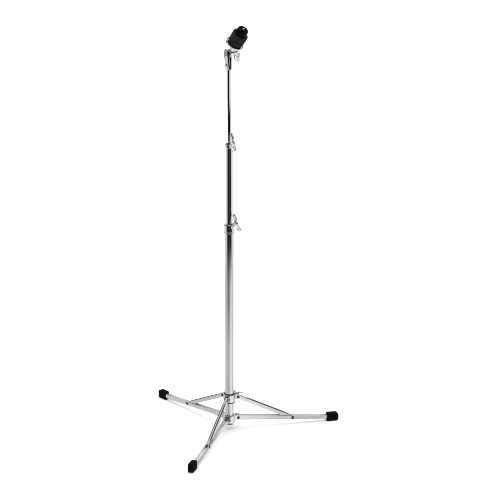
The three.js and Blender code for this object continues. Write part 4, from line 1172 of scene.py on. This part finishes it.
def painted_reflection_disc():
    """Painted reflections: a disc just above the floor that glows with the studio surroundings as the polished metal
    should see them: pale paper close to the stand, a dark room in front of it, bright sides. Only glossy rays meet it;
    the floor itself stays plain and pale."""
    m = Mat("painted_reflection_glow")
    t = m.t
    t.nodes.remove(m.b)
    sep = t.nodes.new("ShaderNodeSeparateXYZ")
    m.link(m.coords(loc=(0, -CY * .001, 0)), sep.inputs["Vector"])
    r = m.math("SQRT", m.math("ADD", m.math("POWER", sep.outputs["X"], 2.0), m.math("POWER", sep.outputs["Y"], 2.0)), 0.0)
    ang = m.math("ARCTAN2", sep.outputs["Y"], sep.outputs["X"])          # 0 along +X
    rel = m.math("ADD", m.math("DIVIDE", ang, 2 * math.pi), (90 - CAM_AZ) / 360.0 + 0.5)
    rel = m.math("FRACT", rel, 0.0)

    def band(stops):
        return m.ramp(rel, [((d + 180) / 360.0, (v, v, v)) for d, v in stops])
    # painted reflection levels round the stand, by angle from the camera's side, one ring of distance each
    far = band([(-180, 1.25), (-100, 1.10), (-78, .95), (-60, .45), (-46, .05), (-26, .015), (-6, .02), (3, .075), (15, .07), (24, .015), (42, .01), (54, .03), (66, .95), (90, 1.05), (135, 1.15), (180, 1.25)])
    mid = band([(-180, 1.25), (-119, .78), (-79, .78), (-50, .50), (-21, .24), (5, .46), (31, .90), (60, 1.15), (93, .85), (145, 1.30), (180, 1.25)])
    near = band([(-180, 1.25), (-119, .95), (-79, .80), (-48, .90), (-21, .66), (5, .88), (31, 1.30), (60, 1.30), (93, .92), (145, 1.35), (180, 1.25)])
    out = band([(-180, .10), (-150, .02), (-60, .004), (-18, .004), (0, .25), (14, 1.0), (60, 1.1), (135, 1.2), (178, 1.1), (180, .3)])
    wide = band([(-180, 1.1), (-98, 1.0), (-82, .12), (-66, .004), (0, .004), (62, .004), (74, .08), (90, .9), (135, 1.15), (180, 1.1)])
    head = band([(-180, 1.1), (-84, 1.0), (-66, .05), (-40, .004), (40, .004), (62, .02), (76, .9), (100, 1.1), (180, 1.1)])
    f1 = m.range(r, .55, 1.30, 0, 1, True)
    f2 = m.range(r, 1.30, 2.05, 0, 1, True)
    f3 = m.range(r, 3.95, 4.35, 0, 1, True)
    f4 = m.range(r, 4.85, 5.45, 0, 1, True)
    f5 = m.range(r, 6.72, 6.95, 0, 1, True)
    col = m.mix(f5, m.mix(f4, m.mix(f3, m.mix(f2, m.mix(f1, near, mid), far), wide), out), head)
    # the disc glows with these painted reflection levels
    em = t.nodes.new("ShaderNodeEmission")
    m.link(col, em.inputs["Color"])
    surf = next(n for n in t.nodes if n.type == "OUTPUT_MATERIAL")
    m.link(em.outputs["Emission"], surf.inputs["Surface"])
    pts = [(14 * math.cos(2 * math.pi * i / 96), CY * .001 + 14 * math.sin(2 * math.pi * i / 96), .0015) for i in range(96)]
    ob = plane("painted_reflection_disc", pts, m.m)
    ob.visible_camera = ob.visible_diffuse = ob.visible_shadow = ob.visible_transmission = ob.visible_volume_scatter = False


painted_reflection_disc()


def area(name, loc, target, size, power, colour=(1, 1, 1)):
    ld = bpy.data.lights.new(name, "AREA")
    ld.shape, ld.size, ld.size_y, ld.energy, ld.color = "RECTANGLE", size[0], size[1], power, colour
    ob = bpy.data.objects.new(name, ld)
    ob.location = loc
    ob.rotation_euler = (Vector(target) - Vector(loc)).to_track_quat("-Z", "Y").to_euler()
    scene.collection.objects.link(ob)
    return ob


area("light_top", (0.3, 0.5, 3.6), (0, 0.1, 0.0), (3.0, 3.0), 60).visible_glossy = False

world = bpy.data.worlds.new("studio")
scene.world = world
world.use_nodes = True
wt = world.node_tree
bg = next(n for n in wt.nodes if n.type == "BACKGROUND")
wtc = wt.nodes.new("ShaderNodeTexCoord")
wsep = wt.nodes.new("ShaderNodeSeparateXYZ")
wt.links.new(wtc.outputs["Generated"], wsep.inputs["Vector"])


def wnode(kind, **props):
    n = wt.nodes.new(kind)
    for key, v in props.items():
        setattr(n, key, v)
    return n


def wramp(v, stops):
    n = wnode("ShaderNodeValToRGB")
    e = n.color_ramp.elements
    while len(e) < len(stops):
        e.new(0.5)
    for el, (at, val) in zip(e, stops):
        el.position, el.color = at, (val, val, val, 1)
    wt.links.new(v, n.inputs["Fac"])
    return n.outputs["Color"]


def wmath(op, a, b=0.0):
    n = wnode("ShaderNodeMath", operation=op)
    for i, v in enumerate((a, b)):
        if isinstance(v, (int, float)):
            n.inputs[i].default_value = v
        else:
            wt.links.new(v, n.inputs[i])
    return n.outputs[0]


def wmix(f, a, b):
    n = wnode("ShaderNodeMix", data_type="RGBA")
    wt.links.new(f, n.inputs["Factor"])
    wt.links.new(a, n.inputs["A"])
    wt.links.new(b, n.inputs["B"])
    return n.outputs["Result"]


# soft light for everything, and for the polished metal a dark room above the horizon with a pale
# backdrop behind the stand and a bright ceiling
soft = wramp(wsep.outputs["Z"], [(0.0, 1.02), (1.0, 1.30)])
room = wramp(wsep.outputs["Z"], [(0.0, .05), (.45, .06), (.70, .70), (1.0, 1.0)])
turn = wmath("FRACT", wmath("ADD", wmath("DIVIDE", wmath("ARCTAN2", wsep.outputs["Y"], wsep.outputs["X"]), 2 * math.pi), (90 - CAM_AZ) / 360.0 + 0.5))
behind = wramp(turn, [(0.0, 1.0), (.055, 1.0), (.10, 0.0), (.90, 0.0), (.945, 1.0), (1.0, 1.0)])
sheet = wramp(wsep.outputs["Z"], [(0.0, .70), (.10, .82), (.26, 1.45), (.50, 1.40), (.80, .98), (1.0, 1.0)])
path = wnode("ShaderNodeLightPath")
wt.links.new(wmix(path.outputs["Is Glossy Ray"], soft, wmix(behind, room, sheet)), bg.inputs["Color"])
bg.inputs["Strength"].default_value = 1.0

scene.view_settings.view_transform = "Standard"
scene.view_settings.look = "None"
scene.view_settings.exposure = 0.0

cam = bpy.data.objects.new("camera", bpy.data.cameras.new("camera"))
scene.collection.objects.link(cam)
pitch, roll = rad(16.31), rad(-0.18)
right = np.array([cx, sx, 0.0])
fwd = np.array([-sx * math.cos(pitch), cx * math.cos(pitch), -math.sin(pitch)])
up = np.cross(right, fwd)
r2 = math.cos(roll) * right - math.sin(roll) * up
u2 = math.sin(roll) * right + math.cos(roll) * up
pos = np.array([0, CY * .001, 0]) + np.array([sx * 4.007, -cx * 4.007, 1.729]) + right * .0594
pos[2] -= FLOOR * .001
cam.matrix_world = Matrix([(r2[i], u2[i], -fwd[i], pos[i]) for i in range(3)] + [(0, 0, 0, 1)])
cam.data.sensor_fit = "HORIZONTAL"
cam.data.sensor_width = 36.0
cam.data.lens = 1453.0 / 500 * 36.0
cam.data.clip_end = 200
scene.cycles.filter_width = 0.9
scene.camera = cam
